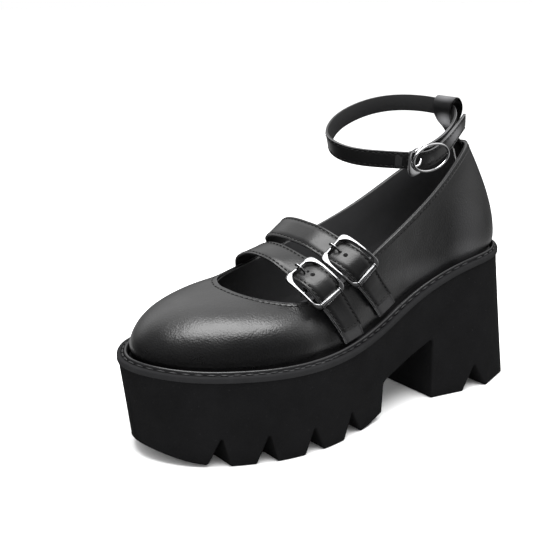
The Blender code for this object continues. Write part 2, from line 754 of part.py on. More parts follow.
def make_chape(key, strap, finish):
    """The short outer strap: from the welt up under the free end and round the centre bar."""
    middle, along, out = buckle_place(strap)
    half_thick = 0.5 * CHAPE_THICK
    centre = middle - out * CENTRE_BAR_DROP
    wrap = CENTRE_BAR + 2 * GAP + half_thick
    turns = np.radians([250.0, 225.0, 200.0, 175.0, 150.0, 125.0, 105.0])
    loop = [centre + wrap * (np.cos(turn) * along + np.sin(turn) * out) for turn in turns]
    lines = []
    for offset in STRAP_LINES:
        billet = billet_line(strap, offset)
        below = billet - outward(billet) * (0.5 * STRAP_THICK + GAP + half_thick)
        past_bar = below[(billet - middle) @ along > 0.4]
        wall = wall_line(strap, offset, "outer", WALL_CLEAR + half_thick)
        foot = welt_height(strap, wall) + FOOT_ABOVE_WELT
        last = clip_height(wall, foot, past_bar[-1, 1] - 3.0, 2)[::-1]
        lines.append(smooth_line(np.vstack([loop, past_bar[::2], last]), CHAPE_SAMPLES))
    return strap_body(f"chape_{key}", strap, lines, CHAPE_THICK, finish)


def frame_point(strap, along_by, out_by, side_by):
    """World point in a buckle's own directions: along the strap, out of it and across it."""
    middle, along, out = buckle_place(strap)
    x, height = middle + along * along_by + out * out_by
    return in_plane(strap, x, height, side_by)


def rounded_rectangle(length, width, corner, per_corner):
    """Points of a rectangle with round corners, as pairs along and across."""
    points = []
    for quarter in range(4):
        ends = ((1, 1), (-1, 1), (-1, -1), (1, -1))[quarter]
        centre = (ends[0] * (length / 2 - corner), ends[1] * (width / 2 - corner))
        for step in range(per_corner):
            turn = math.radians(90.0 * quarter + 90.0 * step / (per_corner - 1))
            points.append((centre[0] + corner * math.cos(turn), centre[1] + corner * math.sin(turn)))
    return points


def make_buckle(key, strap, finish):
    """Rectangular frame with a centre bar below it and a roller on its outer end."""
    line = rounded_rectangle(
        BUCKLE_LENGTH - RAIL_WIDTH, BUCKLE_WIDTH - RAIL_WIDTH, BUCKLE_CORNER - RAIL_WIDTH / 2, 4
    )
    half_width, half_thick = RAIL_WIDTH / 2, RAIL_THICK / 2
    flat_width, flat_thick = half_width - RAIL_BEVEL, half_thick - RAIL_BEVEL
    rail = [
        (half_width, -flat_thick),
        (half_width, flat_thick),
        (flat_width, half_thick),
        (-flat_width, half_thick),
        (-half_width, flat_thick),
        (-half_width, -flat_thick),
        (-flat_width, -half_thick),
        (flat_width, -half_thick),
    ]
    line = np.array(line)
    direction = unit(np.roll(line, -1, axis=0) - np.roll(line, 1, axis=0))
    sections = []
    for (a, s), (da, ds) in zip(line, direction):
        corners = [frame_point(strap, a + ds * w, t, s - da * w) for w, t in rail]
        sections.append(corners)
    frame = hoop(f"buckle_{key}", np.array(sections), finish)
    half = BUCKLE_WIDTH / 2 - RAIL_WIDTH / 2
    ends = [frame_point(strap, 0.0, -CENTRE_BAR_DROP, s) for s in (-half, half)]
    posts = []
    for side in (-half, half):
        foot = frame_point(strap, 0.0, -CENTRE_BAR_DROP - BAR_POST / 2, side)
        head = frame_point(strap, 0.0, RAIL_THICK / 10, side)
        name = f"bar_post_{key}_{side:+.0f}"
        posts.append(rod(name, [foot, head], BAR_POST, 8, finish, (0.0, 1.0, 0.0)))
    bar = rod(f"centre_bar_{key}", ends, CENTRE_BAR, 8, finish)
    roll = [frame_point(strap, BAR_AT, 0.0, s * ROLLER_LENGTH / 2) for s in (-1, 1)]
    roller = rod(f"roller_{key}", roll, ROLLER, 12, finish)
    for piece in (*posts, bar, roller):
        boolean(frame, piece, "UNION")
    return frame


def make_prong(key, strap, finish):
    """From under the strap up through its hole and over the frame's inner end."""
    over_bar = RAIL_THICK / 2 + GAP + PRONG
    at_hole = [(-HOLE_BACK + along, out) for along, out in PRONG_FROM_HOLE]
    over = [(-BAR_AT + along, over_bar + out) for along, out in PRONG_OVER_BAR]
    line = [frame_point(strap, a, t, 0.0) for a, t in smooth_line(at_hole + over, 10)]
    across = frame_point(strap, 0.0, 0.0, 1.0) - frame_point(strap, 0.0, 0.0, 0.0)
    return rod(f"prong_{key}", line, PRONG, 6, finish, up=across)


# Ankle strap, its hardware and the heel tab -------------------------------------------------


def ankle_line(samples):
    """Middle line of the ankle strap with its directions: along, across its width, and out."""
    rows = np.array([row[1:] for row in ANKLE_ROUTE], float)
    knots = lengths(rows[:, :3])
    values = open_spline(knots, rows, np.linspace(0.0, knots[-1], samples))
    line = values[:, :3]
    along = unit(np.gradient(line, axis=0))
    level = unit(np.cross(np.array([0.0, 0.0, 1.0]), along))
    lean = np.radians(values[:, 3:4])
    out = level * np.cos(lean) + np.cross(along, level) * np.sin(lean)
    return line, along, np.cross(out, along), out


def make_ankle_strap(finish):
    line, _, width, out = ankle_line(ANKLE_SAMPLES)
    sheets = []
    for sign in (1.0, -1.0):
        edges = [
            line + width * ANKLE_WIDTH * part + out * sign * ANKLE_THICK / 2
            for part in (-0.5, 0.5)
        ]
        sheets.append(np.stack(edges, axis=1))
    return slab("ankle_strap", sheets[0], sheets[1], finish)


def ankle_place(distance_from_end):
    """Place and directions on the strap's outer layer, measured back from its free end."""
    line, along, width, out = ankle_line(400)
    run = lengths(line)
    at = int(np.argmin(np.abs(run - (run[-1] - distance_from_end))))
    return line[at], along[at], width[at], -out[at]


def make_ankle_buckle(finish):
    """The oval ring that lies over the plate."""
    origin, along, width, out = ankle_place(ANKLE_BUCKLE_BACK)
    lift = ANKLE_THICK / 2 + GAP + 2 * PLATE_WIRE + GAP + OVAL_WIRE
    turns = 2.0 * math.pi * np.arange(OVAL_SIDES) / OVAL_SIDES
    ring = (
        origin
        + out * lift
        - width * OVAL_RAISE
        + np.cos(turns)[:, None] * along * (OVAL_LENGTH / 2 - OVAL_WIRE)
        + np.sin(turns)[:, None] * width * (OVAL_WIDTH / 2 - OVAL_WIRE)
    )
    return hoop("ankle_buckle", tube_sections(ring, OVAL_WIRE, 8, True, out), finish)


def make_ankle_plate(finish):
    """The rounded frame under the oval, over the strap."""
    origin, along, width, out = ankle_place(ANKLE_BUCKLE_BACK)
    lift = ANKLE_THICK / 2 + GAP + PLATE_WIRE
    outline = rounded_rectangle(
        PLATE_LENGTH - 2 * PLATE_WIRE, PLATE_WIDTH - 2 * PLATE_WIRE, PLATE_CORNER, 4
    )
    middle = origin + out * lift - along * PLATE_BEFORE - width * PLATE_RAISE
    ring = np.array([middle + along * a + width * w for a, w in outline])
    return hoop("ankle_plate", tube_sections(ring, PLATE_WIRE, 8, True, out), finish)


def make_ankle_prong(finish):
    origin, along, width, out = ankle_place(ANKLE_BUCKLE_BACK)
    front = origin - along * OVAL_LENGTH / 2 + out * (ANKLE_THICK / 2 + GAP + PRONG)
    line = [front + along * a + width * w + out * o for a, w, o in ANKLE_PRONG_ROUTE]
    return rod("ankle_prong", smooth_line(line, 6), PRONG, 6, finish, up=out)


def make_heel_tab(finish):
    """A strip from inside the counter up to a loop that the ankle strap runs through."""
    rows = np.array([row[1:] for row in HEEL_TAB], float)
    fine = smooth_line(rows, TAB_SAMPLES)
    along = unit(np.gradient(fine[:, :2], axis=0))
    out = np.stack([along[:, 1], -along[:, 0]], axis=1)
    sheets = []
    for sign in (1.0, -1.0):
        moved = fine[:, :2] + out * sign * HEEL_TAB_THICK / 2
        edges = []
        for part in (-0.5, -0.2, 0.2, 0.5):
            forward = np.clip(fine[:, 3], 0.0, None) * (2.0 * part) ** 2
            edges.append(np.column_stack([part * fine[:, 2], moved[:, 0] - forward, moved[:, 1]]))
        sheets.append(np.stack(edges, axis=1))
    return slab("heel_tab", sheets[0], sheets[1], finish)


# Build --------------------------------------------------------------------------------------


def clear_scene():
    for leftover in list(bpy.data.objects):
        bpy.data.objects.remove(leftover)


def main():
    clear_scene()
    sole_foam = material("sole_foam", (0.012, 0.012, 0.013), 0.85)
    welt_rubber = material("welt_rubber", (0.03, 0.03, 0.032), 0.5)
    upper_leather = material("upper_leather", (0.012, 0.012, 0.013), 0.35)
    strap_leather = material("strap_leather", (0.014, 0.014, 0.015), 0.4)
    lining = material("lining", (0.016, 0.016, 0.017), 0.7)
    nickel = material("nickel", (0.8, 0.8, 0.8), 0.15, 1.0)

    make_outsole(sole_foam)
    make_welt(welt_rubber)
    make_insole(lining)
    make_upper(upper_leather)
    for key, strap in INSTEP_STRAPS.items():
        make_billet(key, strap, strap_leather)
        make_chape(key, strap, strap_leather)
        make_buckle(key, strap, nickel)
        make_prong(key, strap, nickel)
    make_ankle_strap(strap_leather)
    make_ankle_buckle(nickel)
    make_ankle_plate(nickel)
    make_ankle_prong(nickel)
    make_heel_tab(strap_leather)


main()
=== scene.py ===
"""Looks of a left platform shoe with two buckled instep straps and a buckled ankle strap.

Lengths are in metres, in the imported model's own frame: the toe points to -Y, the outer side of the
foot is +X, and the treads stand on Z = 0. Sizes written in millimetres are multiplied by MM.
"""

import math

import bmesh
import bpy
import numpy as np
from mathutils import Matrix, Vector
from mathutils.bvhtree import BVHTree
from mathutils.kdtree import KDTree


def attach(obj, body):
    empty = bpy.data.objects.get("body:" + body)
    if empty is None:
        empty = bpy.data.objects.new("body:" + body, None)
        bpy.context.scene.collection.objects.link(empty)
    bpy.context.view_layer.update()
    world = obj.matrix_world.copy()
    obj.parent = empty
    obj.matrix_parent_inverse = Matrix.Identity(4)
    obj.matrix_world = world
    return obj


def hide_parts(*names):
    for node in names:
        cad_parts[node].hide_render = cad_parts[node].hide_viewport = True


MM = 0.001
MERGE = MM / 1000  # corners this near become one

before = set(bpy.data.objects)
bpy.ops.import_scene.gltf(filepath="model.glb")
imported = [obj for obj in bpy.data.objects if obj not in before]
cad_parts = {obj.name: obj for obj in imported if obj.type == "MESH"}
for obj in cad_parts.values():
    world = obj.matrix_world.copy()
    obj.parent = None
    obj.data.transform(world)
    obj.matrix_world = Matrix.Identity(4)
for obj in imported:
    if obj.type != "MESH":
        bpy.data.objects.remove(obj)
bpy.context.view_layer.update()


# Hand tools ---------------------------------------------------------------------------------


def select(*pieces):
    """Selects these pieces alone. The last one becomes active."""
    bpy.ops.object.select_all(action="DESELECT")
    for piece in pieces:
        piece.select_set(True)
    bpy.context.view_layer.objects.active = pieces[-1]


def edit(piece):
    """Opens a piece in edit mode, with all of it selected."""
    select(piece)
    bpy.ops.object.mode_set(mode="EDIT")
    bpy.ops.mesh.select_all(action="SELECT")


def close():
    bpy.ops.object.mode_set(mode="OBJECT")


def pick(piece, kind, test):
    """In edit mode, selects the faces, edges or corners that pass a test, and no others."""
    bpy.ops.mesh.select_all(action="DESELECT")
    bpy.ops.mesh.select_mode(type=kind)
    shell = bmesh.from_edit_mesh(piece.data)
    parts = {"FACE": shell.faces, "EDGE": shell.edges, "VERT": shell.verts}[kind]
    for part in parts:
        part.select_set(bool(test(part)))
    shell.select_flush_mode()
    bmesh.update_edit_mesh(piece.data)


def modifier(piece, kind, **settings):
    """Adds a modifier with these settings and applies it."""
    select(piece)
    added = piece.modifiers.new(kind, kind)
    for name, value in settings.items():
        setattr(added, name, value)
    bpy.ops.object.modifier_apply(modifier=added.name)


def coordinates(mesh, count=None):
    """Positions of a mesh's corners, or of its first ones, as an array."""
    found = np.empty(3 * len(mesh.vertices))
    mesh.vertices.foreach_get("co", found)
    return found.reshape(-1, 3)[:count]


def subdivide(piece, levels):
    """Smooths a piece by subdivision, and moves its cage so that the result meets its corners."""
    select(piece)
    added = piece.modifiers.new("subdivision", "SUBSURF")
    added.levels = added.render_levels = levels
    wanted = coordinates(piece.data)
    cage = wanted.copy()
    for _ in range(5):
        view = bpy.context.evaluated_depsgraph_get()
        found = coordinates(piece.evaluated_get(view).data, len(wanted))
        cage += wanted - found
        piece.data.vertices.foreach_set("co", cage.ravel())
        piece.data.update()
    bpy.ops.object.modifier_apply(modifier=added.name)


def take(node, name):
    """A new piece that starts from a CAD node's shape, with its triangles paired into quads."""
    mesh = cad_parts[node].data.copy()
    mesh.materials.clear()
    piece = bpy.data.objects.new(name, mesh)
    mesh.name = name
    bpy.context.scene.collection.objects.link(piece)
    edit(piece)
    bpy.ops.mesh.customdata_custom_splitnormals_clear()
    bpy.ops.mesh.remove_doubles(threshold=MERGE)
    bpy.ops.mesh.tris_convert_to_quads(
        face_threshold=math.radians(40), shape_threshold=math.radians(179), topology_influence=1.0
    )
    close()
    return piece


def place_selected(piece, points):
    """In edit mode, puts the selected corners on these points, in their own order."""
    shell = bmesh.from_edit_mesh(piece.data)
    chosen = [corner for corner in shell.verts if corner.select]
    for corner, point in zip(chosen, points, strict=True):
        corner.co = point
    bmesh.update_edit_mesh(piece.data)


def loft(name, rings, closed=False):
    """Extrudes a ring of corners from section to section. The ends close, or meet as a hoop."""
    bpy.ops.object.select_all(action="DESELECT")
    bpy.ops.mesh.primitive_circle_add(vertices=len(rings[0]), fill_type="NOTHING")
    piece = bpy.context.object
    piece.name = piece.data.name = name
    edit(piece)
    bpy.ops.mesh.select_mode(type="VERT")
    bpy.ops.mesh.select_all(action="SELECT")
    place_selected(piece, rings[0])
    for ring in [*rings[1:], *([rings[0]] if closed else [])]:
        bpy.ops.mesh.extrude_region_move()
        place_selected(piece, ring)
    bpy.ops.mesh.select_all(action="SELECT")
    if closed:
        bpy.ops.mesh.remove_doubles(threshold=MERGE)
    else:
        bpy.ops.mesh.fill_holes(sides=0)
        bpy.ops.mesh.select_all(action="SELECT")
    bpy.ops.mesh.normals_make_consistent(inside=False)
    close()
    return piece


def paint(piece, slot, test):
    """Gives the faces that pass a test another of the piece's finishes."""
    for face in piece.data.polygons:
        if test(face):
            face.material_index = slot


def soften(ring, cut):
    """A closed line with each corner cut off, at most this far along the sides beside it."""
    softer = []
    for before, point, after in zip(np.roll(ring, 1, axis=0), ring, np.roll(ring, -1, axis=0)):
        for other in (before, after):
            reach = np.linalg.norm(other - point)
            softer.append(point + (other - point) * min(0.3, cut / reach))
    return np.array(softer)


def hand_over(piece, finishes=(), nodes=(), smooth=35.0):
    """Shades a finished piece, gives it its finishes and puts it on the shoe's body."""
    select(piece)
    bpy.ops.object.shade_smooth_by_angle(angle=math.radians(smooth))
    for finish in finishes:
        piece.data.materials.append(finish)
    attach(piece, "root")
    if nodes:
        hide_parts(*nodes)
    return piece


# Lines and surfaces -------------------------------------------------------------------------


def unit(vectors):
    return vectors / np.linalg.norm(vectors, axis=-1, keepdims=True)


def lengths(points):
    """Distance of each point along the line through them."""
    return np.concatenate([[0.0], np.cumsum(np.linalg.norm(np.diff(points, axis=0), axis=1))])


def curve(points, places, closed=False):
    """Points of a smooth curve through points, at places counted in points."""
    points, places = np.asarray(points, float), np.asarray(places, float)
    count = len(points)
    start = np.floor(places).astype(int)
    if not closed:
        start = np.clip(start, 0, count - 2)
    part = (places - start)[:, None]
    rows = [start + step for step in (-1, 0, 1, 2)]
    if closed:
        a, b, c, d = (points[row % count] for row in rows)
    else:
        a, b, c, d = (points[np.clip(row, 0, count - 1)] for row in rows)
    bend = (2 * a - 5 * b + 4 * c - d) * part**2 + (3 * b - a - 3 * c + d) * part**3
    return 0.5 * (2 * b + (c - a) * part + bend)


def spaced(points, step):
    """Places, counted in points, at an even step along a line, with half a step at its ends."""
    run, start = lengths(points), 0.5 * step
    stops = np.arange(start, run[-1] - start + step * 0.01, step)
    return np.interp(stops, run, np.arange(len(points)))


def sharp_lines(shape, degrees):
    """Lines of sharp edges of a mesh: points in order, and the sum of the normals beside them."""
    shell = bmesh.new()
    shell.from_mesh(shape.data)
    bmesh.ops.remove_doubles(shell, verts=shell.verts, dist=MERGE)
    sharp = {edge for edge in shell.edges if edge.calc_face_angle(0.0) > math.radians(degrees)}
    beside = {
        corner: [edge for edge in corner.link_edges if edge in sharp] for corner in shell.verts
    }
    ends = [corner for corner, found in beside.items() if len(found) not in (0, 2)]
    lines = []
    for first in [*ends, *[edge.verts[0] for edge in sharp]]:
        for edge in beside[first]:
            if edge not in sharp:
                continue
            line, normals, corner = [first], [], first
            while edge is not None:
                sharp.discard(edge)
                normals.append(sum((face.normal for face in edge.link_faces), Vector()))
                corner = edge.other_vert(corner)
                line.append(corner)
                onward = [other for other in beside[corner] if other in sharp]
                edge = onward[0] if onward and len(beside[corner]) == 2 else None
            normals.append(normals[-1])
            closed = line[0] is line[-1]
            keep = slice(0, -1 if closed else None)
            points = np.array([corner.co for corner in line])[keep]
            lines.append((points, np.array(normals)[keep], closed))
    shell.free()
    return lines


def tree_of(piece):
    """A search tree over a mesh's faces."""
    shell = bmesh.new()
    shell.from_mesh(piece.data)
    found = BVHTree.FromBMesh(shell)
    shell.free()
    return found


def search_tree(spots):
    """A search tree over points, each with a number."""
    spots = list(spots)
    tree = KDTree(len(spots))
    for point, number in spots:
        tree.insert(point, number)
    tree.balance()
    return tree


# Finishes -----------------------------------------------------------------------------------


def grey(light, blue):
    """A grey whose red and green are light, and whose blue is this."""
    return (light, light, blue, 1.0)


def add_node(tree, kind, values=None, **settings):
    """A node with these settings. A value is a number or colour, or another node's output."""
    made = tree.nodes.new(kind)
    for name, value in settings.items():
        setattr(made, name, value)
    for name, value in (values or {}).items():
        if isinstance(value, bpy.types.NodeSocket):
            tree.links.new(value, made.inputs[name])
        else:
            made.inputs[name].default_value = value
    return made


class Finish:
    """A surface finish under construction. Its patterns' sizes and depths are in millimetres."""

    def __init__(self, name, colour, roughness, specular=0.5, metallic=0.0):
        self.material = bpy.data.materials.new(name)
        self.material.use_nodes = True
        self.tree = self.material.node_tree
        self.shader = self.tree.nodes["Principled BSDF"]
        sockets = {"Base Color": colour, "Roughness": roughness, "Metallic": metallic}
        for socket, value in {**sockets, "Specular IOR Level": specular}.items():
            self.shader.inputs[socket].default_value = value
        self.place = self.node("ShaderNodeTexCoord").outputs["Object"]
        self.normal = None

    def node(self, kind, values=None, **settings):
        return add_node(self.tree, kind, values, **settings)

    def feed(self, name, socket):
        self.tree.links.new(socket, self.shader.inputs[name])

    def noise(self, size, detail=2.0, roughness=0.5):
        """Cloudy values from 0 to 1, whose blotches are about this size."""
        values = {"Vector": self.place, "Scale": 1.0 / (size * MM), "Detail": detail}
        return self.node("ShaderNodeTexNoise", {**values, "Roughness": roughness}).outputs["Fac"]

    def ramp(self, value, low, high, to_low=0.0, to_high=1.0):
        """value taken from the range low to high over to the range to_low to to_high."""
        values = {"Value": value, "From Min": low, "From Max": high}
        values.update({"To Min": to_low, "To Max": to_high})
        return self.node("ShaderNodeMapRange", values).outputs["Result"]

    def mix(self, share, first, second):
        """A colour from first to second, by share."""
        values = {0: share, 6: first, 7: second}
        return self.node("ShaderNodeMix", values, data_type="RGBA").outputs[2]

    def clouds(self, dark, pale, size, detail=3.0, roughness=0.5):
        """A colour that drifts from dark to pale."""
        return self.mix(self.noise(size, detail, roughness), dark, pale)

    def painted_sheen(self, base, places):
        """Pale patches of painted sheen on a colour: middle, reach each way, strength in the middle.
        """
        for middle, reach, amount in places:
            values = {0: self.place, 1: middle}
            shift = self.node("ShaderNodeVectorMath", values, operation="SUBTRACT")
            values = {0: shift.outputs["Vector"], 1: reach}
            scaled = self.node("ShaderNodeVectorMath", values, operation="DIVIDE")
            values = {0: scaled.outputs["Vector"]}
            away = self.node("ShaderNodeVectorMath", values, operation="LENGTH")
            values = {"Value": away.outputs["Value"], "To Min": amount, "To Max": 0.0}
            fade = self.node("ShaderNodeMapRange", values, interpolation_type="SMOOTHSTEP")
            base = self.mix(fade.outputs["Result"], base, grey(0.5, 0.52))
        return base

    def mottle(self, size, smooth, rough):
        """Roughness that drifts from smooth to rough."""
        self.feed("Roughness", self.ramp(self.noise(size, 4.0), 0.3, 0.7, smooth, rough))

    def bump(self, height, depth, strength=1.0):
        """Adds relief: height goes from 0 to 1, which stands this deep."""
        values = {"Height": height, "Distance": depth * MM, "Strength": strength}
        if self.normal is not None:
            values["Normal"] = self.normal
        self.normal = self.node("ShaderNodeBump", values).outputs["Normal"]
        self.feed("Normal", self.normal)

    def grain(self, size, depth, strength, detail=2.0):
        """Soft relief."""
        self.bump(self.noise(size, detail), depth, strength)

    def pores(self, size, depth, strength):
        """Relief like many small cells."""
        values = {"Vector": self.place, "Scale": 1.0 / (size * MM)}
        cells = self.node("ShaderNodeTexVoronoi", values, feature="F1").outputs["Distance"]
        self.bump(cells, depth, strength)


BLACK_LEATHER = grey(0.003, 0.0033), grey(0.005, 0.0053)  # its darkest and its palest
ROW_BELOW_TOPLINE = 2.3 * MM  # how far down the upper its stitched row runs

# Faint pale patches of painted sheen on the leathers: middle, reach each way and strength.
UPPER_PAINTED_SHEEN = [
    ((0.029, 0.083, 0.096), (0.020, 0.020, 0.030), 0.03),
    ((0.029, 0.042, 0.079), (0.012, 0.032, 0.010), 0.03),
    ((0.029, 0.080, 0.086), (0.012, 0.020, 0.010), 0.03),
]
# Painted sheen on the ankle strap's free end.
STRAP_PAINTED_SHEEN = [
    ((0.022, 0.075, 0.153), (0.012, 0.018, 0.009), 0.2),
    ((0.0, 0.088, 0.157), (0.010, 0.005, 0.0065), 0.5),
    ((-0.003, 0.089, 0.171), (0.014, 0.005, 0.004), 0.2),
]


def upper_leather():
    """Smooth black coated leather: fine pores, painted highlight at the folded edge, a pressed
    stitch line.
    """
    finish = Finish("upper_leather", grey(0.006, 0.0065), 0.32, 0.62)
    down = finish.node("ShaderNodeAttribute", attribute_name="topline").outputs["Fac"]
    # Painted highlight: the leather turns pale within a third of a millimetre of the topline.
    rim_highlight = finish.ramp(down, 0.1 * MM, 0.35 * MM, 1.0, 0.0)
    base = finish.painted_sheen(finish.clouds(*BLACK_LEATHER, 22), UPPER_PAINTED_SHEEN)
    finish.feed("Base Color", finish.mix(rim_highlight, base, grey(0.05, 0.053)))
    finish.mottle(9, 0.27, 0.34)
    values = {0: down, 1: ROW_BELOW_TOPLINE}
    past = finish.node("ShaderNodeMath", values, operation="SUBTRACT").outputs["Value"]
    away = finish.node("ShaderNodeMath", {0: past}, operation="ABSOLUTE").outputs["Value"]
    finish.bump(finish.ramp(away, 0.1 * MM, 0.7 * MM), 0.17)
    finish.grain(26, 0.8, 0.5)
    finish.grain(7, 0.12, 0.5)
    finish.pores(1.0, 0.08, 0.8)
    finish.grain(0.8, 0.055, 0.8, 1.0)
    return finish.material


def strap_leather():
    finish = Finish("strap_leather", grey(0.004, 0.0043), 0.34)
    # Pale patches of painted sheen over the clouded black.
    finish.feed("Base Color", finish.painted_sheen(finish.clouds(*BLACK_LEATHER, 14), STRAP_PAINTED_SHEEN))
    finish.mottle(5, 0.30, 0.38)
    finish.grain(4, 0.08, 0.5)
    finish.pores(0.8, 0.04, 0.7)
    return finish.material


def sole_foam():
    """Matte moulded foam rubber, with a fine pebble and a few pale specks of dust."""
    finish = Finish("sole_foam", grey(0.01, 0.011), 0.95, 0.1)
    base = finish.clouds(grey(0.003, 0.0033), grey(0.0065, 0.007), 18, 4.0, 0.6)
    dust = finish.ramp(finish.noise(1.3, 3.0), 0.68, 0.82)
    finish.feed("Base Color", finish.mix(dust, base, grey(0.022, 0.023)))
    finish.pores(1.1, 0.14, 0.7)
    finish.grain(0.6, 0.08, 0.7, 3.0)
    return finish.material


def nickel(name, colour):
    """Polished nickel plate with a faint mottle."""
    finish = Finish(name, colour, 0.12, metallic=1.0)
    finish.mottle(2.5, 0.07, 0.16)
    finish.grain(3.0, 0.03, 0.4)
    return finish.material


def plain(name, colour, roughness, specular, grain=(), pores=(), clouds=()):
    """A finish of one colour or clouded, with soft relief, pores or both."""
    finish = Finish(name, colour, roughness, specular)
    if clouds:
        finish.feed("Base Color", finish.clouds(*clouds))
    if grain:
        finish.grain(*grain)
    if pores:
        finish.pores(*pores)
    return finish.material


UPPER_LEATHER = upper_leather()
STRAP_LEATHER = strap_leather()
LINING_CLOUDS = grey(0.03, 0.031), grey(0.046, 0.048), 12
LINING = plain("lining", grey(0.016, 0.017), 0.7, 0.3, (), (0.9, 0.06, 0.6), LINING_CLOUDS)
SOLE_FOAM = sole_foam()
RUBBER_CLOUDS = grey(0.011, 0.0115), grey(0.018, 0.019), 7, 4.0, 0.6
RUBBER_GRAIN = 1.0, 0.08, 0.7, 3.0
WELT_RUBBER = plain("welt_rubber", grey(0.015, 0.016), 0.9, 0.08, RUBBER_GRAIN, (), RUBBER_CLOUDS)
# Nickel darker than the ankle hardware's, painted shade that dims the instep buckles' reflections.
SHADE_DARKENED_NICKEL = nickel("nickel", grey(0.24, 0.245))
BRIGHT_NICKEL = nickel("bright_nickel", grey(0.7, 0.71))
# The thinner leather under a strap's free end, duller and paler than the strap.
STRAP_END = plain("strap_end", grey(0.02, 0.021), 0.42, 0.5, (4, 0.08, 0.5), (0.8, 0.04, 0.7))
STRAP_BACK = plain("strap_back", grey(0.012, 0.0125), 0.6, 0.3, pores=(0.9, 0.05, 0.6))
# The edge paint on the straps' rounded top edges, its pale tone partly a painted highlight; and cut
# leather left unpainted.
EDGE_PAINT_AND_HIGHLIGHT = plain("edge_paint_and_highlight", grey(0.11, 0.113), 0.4, 0.5, (1.2, 0.06, 0.6, 3.0))
RAW_EDGE = plain("raw_edge", grey(0.7, 0.7), 0.7, 0.3, (0.8, 0.05, 0.6))
# The welt's raised rib, rubbed shiny, and its thick thread, worn paler than the leather's.
WELT_RIB = plain("welt_rib", grey(0.014, 0.015), 0.3, 0.6, (1.0, 0.12, 0.9, 3.0))
WAXED_THREAD = plain("waxed_thread", grey(0.017, 0.018), 0.5, 0.4, (0.6, 0.08, 0.8))
THREAD = plain("thread", grey(0.004, 0.004), 0.55, 0.3, (0.5, 0.05, 0.8))


# Outsole ------------------------------------------------------------------------------------

# The treads in side view, toe to heel: y, height and the radius of the corner there, in mm.
TREAD_LINE = [
    ("toe spring", -140.4, 17.0, 0.0),
    ("toe turn", -127.4, 10.5, 6.0),
    ("toe roll", -118.4, 6.4, 8.0),
    ("fore edge", -109.4, 3.0, 8.0),
    ("first block end", -100.9, 1.0, 1.4),
    ("first groove", -95.4, 17.0, 0.5),
    ("second block", -90.9, 0.0, 1.2),
    ("second block end", -78.4, 0.0, 1.2),
    ("second groove", -72.9, 16.5, 0.5),
    ("third block", -67.9, 0.0, 1.2),
    ("third block end", -51.9, 0.0, 1.2),
    ("third groove", -46.9, 15.0, 0.5),
    ("fourth block", -39.9, 0.0, 1.2),
    ("fourth block end", -24.4, 0.0, 1.2),
    ("fourth groove", -19.0, 15.0, 0.5),
    ("last block", -9.4, 0.0, 1.4),
    ("last block roll", -2.4, 0.7, 3.0),
    ("last block end", 9.7, 4.2, 1.4),
    ("arch front", 10.3, 22.1, 2.6),
    ("arch", 24.6, 26.7, 6.0),
    ("heel breast top", 52.6, 37.3, 1.4),
    ("heel breast foot", 53.3, 0.0, 1.4),
    ("heel block end", 75.9, 0.0, 1.2),
    ("heel groove", 84.2, 15.5, 0.5),
    ("heel back block", 92.6, 0.0, 1.2),
    ("back", 140.0, 0.0, 0.0),
]
TREAD_STEP = 3.6 * MM  # longest step along the treads' line
FAN = 32 * MM  # how far from the toe and heel tips the sections close up into a fan
FAN_STEP = 3.0 * MM
WALL_ROWS = 14
ROUND_ROWS = 4
UNDER_ROWS = 8
OVER_ROWS = 3
TREAD_EDGE = 1.0 * MM  # radius where the wall turns under
DRAFT_DEPTH = 20 * MM  # the wall's draft is measured this far under the top
DRAFT_REACH = 20 * MM  # and looked for from this far outside
# The heel's flare: where it starts and is full along the shoe, and the height where it ends.
HEEL_BREAST = 55 * MM
HEEL_BACK = 127 * MM
HEEL_TOP = 76 * MM
# How far the heel then stands out at the floor, backward and, at this half width, sideways.
HEEL_FLARE = 7.0 * MM
HEEL_SPREAD = 9 * MM
HEEL_HALF_WIDTH = 35 * MM


def tread_points():
    """The treads' line with rounded corners, in short steps, and its normals out of the sole."""
    corners = np.array([row[1:3] for row in TREAD_LINE]) * MM
    radii = [row[3] * MM for row in TREAD_LINE]
    line = [corners[0]]
    for before, corner, after, radius in zip(corners, corners[1:], corners[2:], radii[1:]):
        back, on = unit(before - corner), unit(after - corner)
        half = 0.5 * math.acos(float(np.clip(back @ on, -1.0, 1.0)))
        room = 0.48 * min(np.linalg.norm(before - corner), np.linalg.norm(after - corner))
        radius = min(radius, room * math.tan(half))
        middle, side = -unit(back + on), unit(on - back)
        centre = corner - middle * radius / math.sin(half)
        spread = 0.5 * math.pi - half
        start = centre + radius * (math.cos(spread) * middle - math.sin(spread) * side)
        pieces = max(1, math.ceil(np.linalg.norm(start - line[-1]) / TREAD_STEP))
        line += [line[-1] + (start - line[-1]) * k / pieces for k in range(1, pieces)]
        for turn in np.linspace(-spread, spread, 5):
            line.append(centre + radius * (math.cos(turn) * middle + math.sin(turn) * side))
    line.append(corners[-1])
    line = np.array(line)
    along = unit(np.gradient(line, axis=0))
    return line, np.column_stack([along[:, 1], -along[:, 0]])


class SoleWall:
    """One side of the sole's wall, from the toe tip to the heel tip."""

    def __init__(self, top, foot, inward):
        self.top, self.foot, self.inward = top, foot, inward
        self.places = np.arange(len(top))
        self.run = lengths(foot)

    def row(self, grid, place):
        return np.array([np.interp(place, self.places, grid[:, axis]) for axis in range(3)])

    def point(self, place, height):
        top, foot = self.row(self.top, place), self.row(self.foot, place)
        return foot + (top - foot) * (height / top[2])

    def place_at(self, y, height):
        share = height / self.top[:, 2]
        across = self.foot[:, 1] + (self.top[:, 1] - self.foot[:, 1]) * share
        return float(np.interp(y, np.maximum.accumulate(across), self.places))


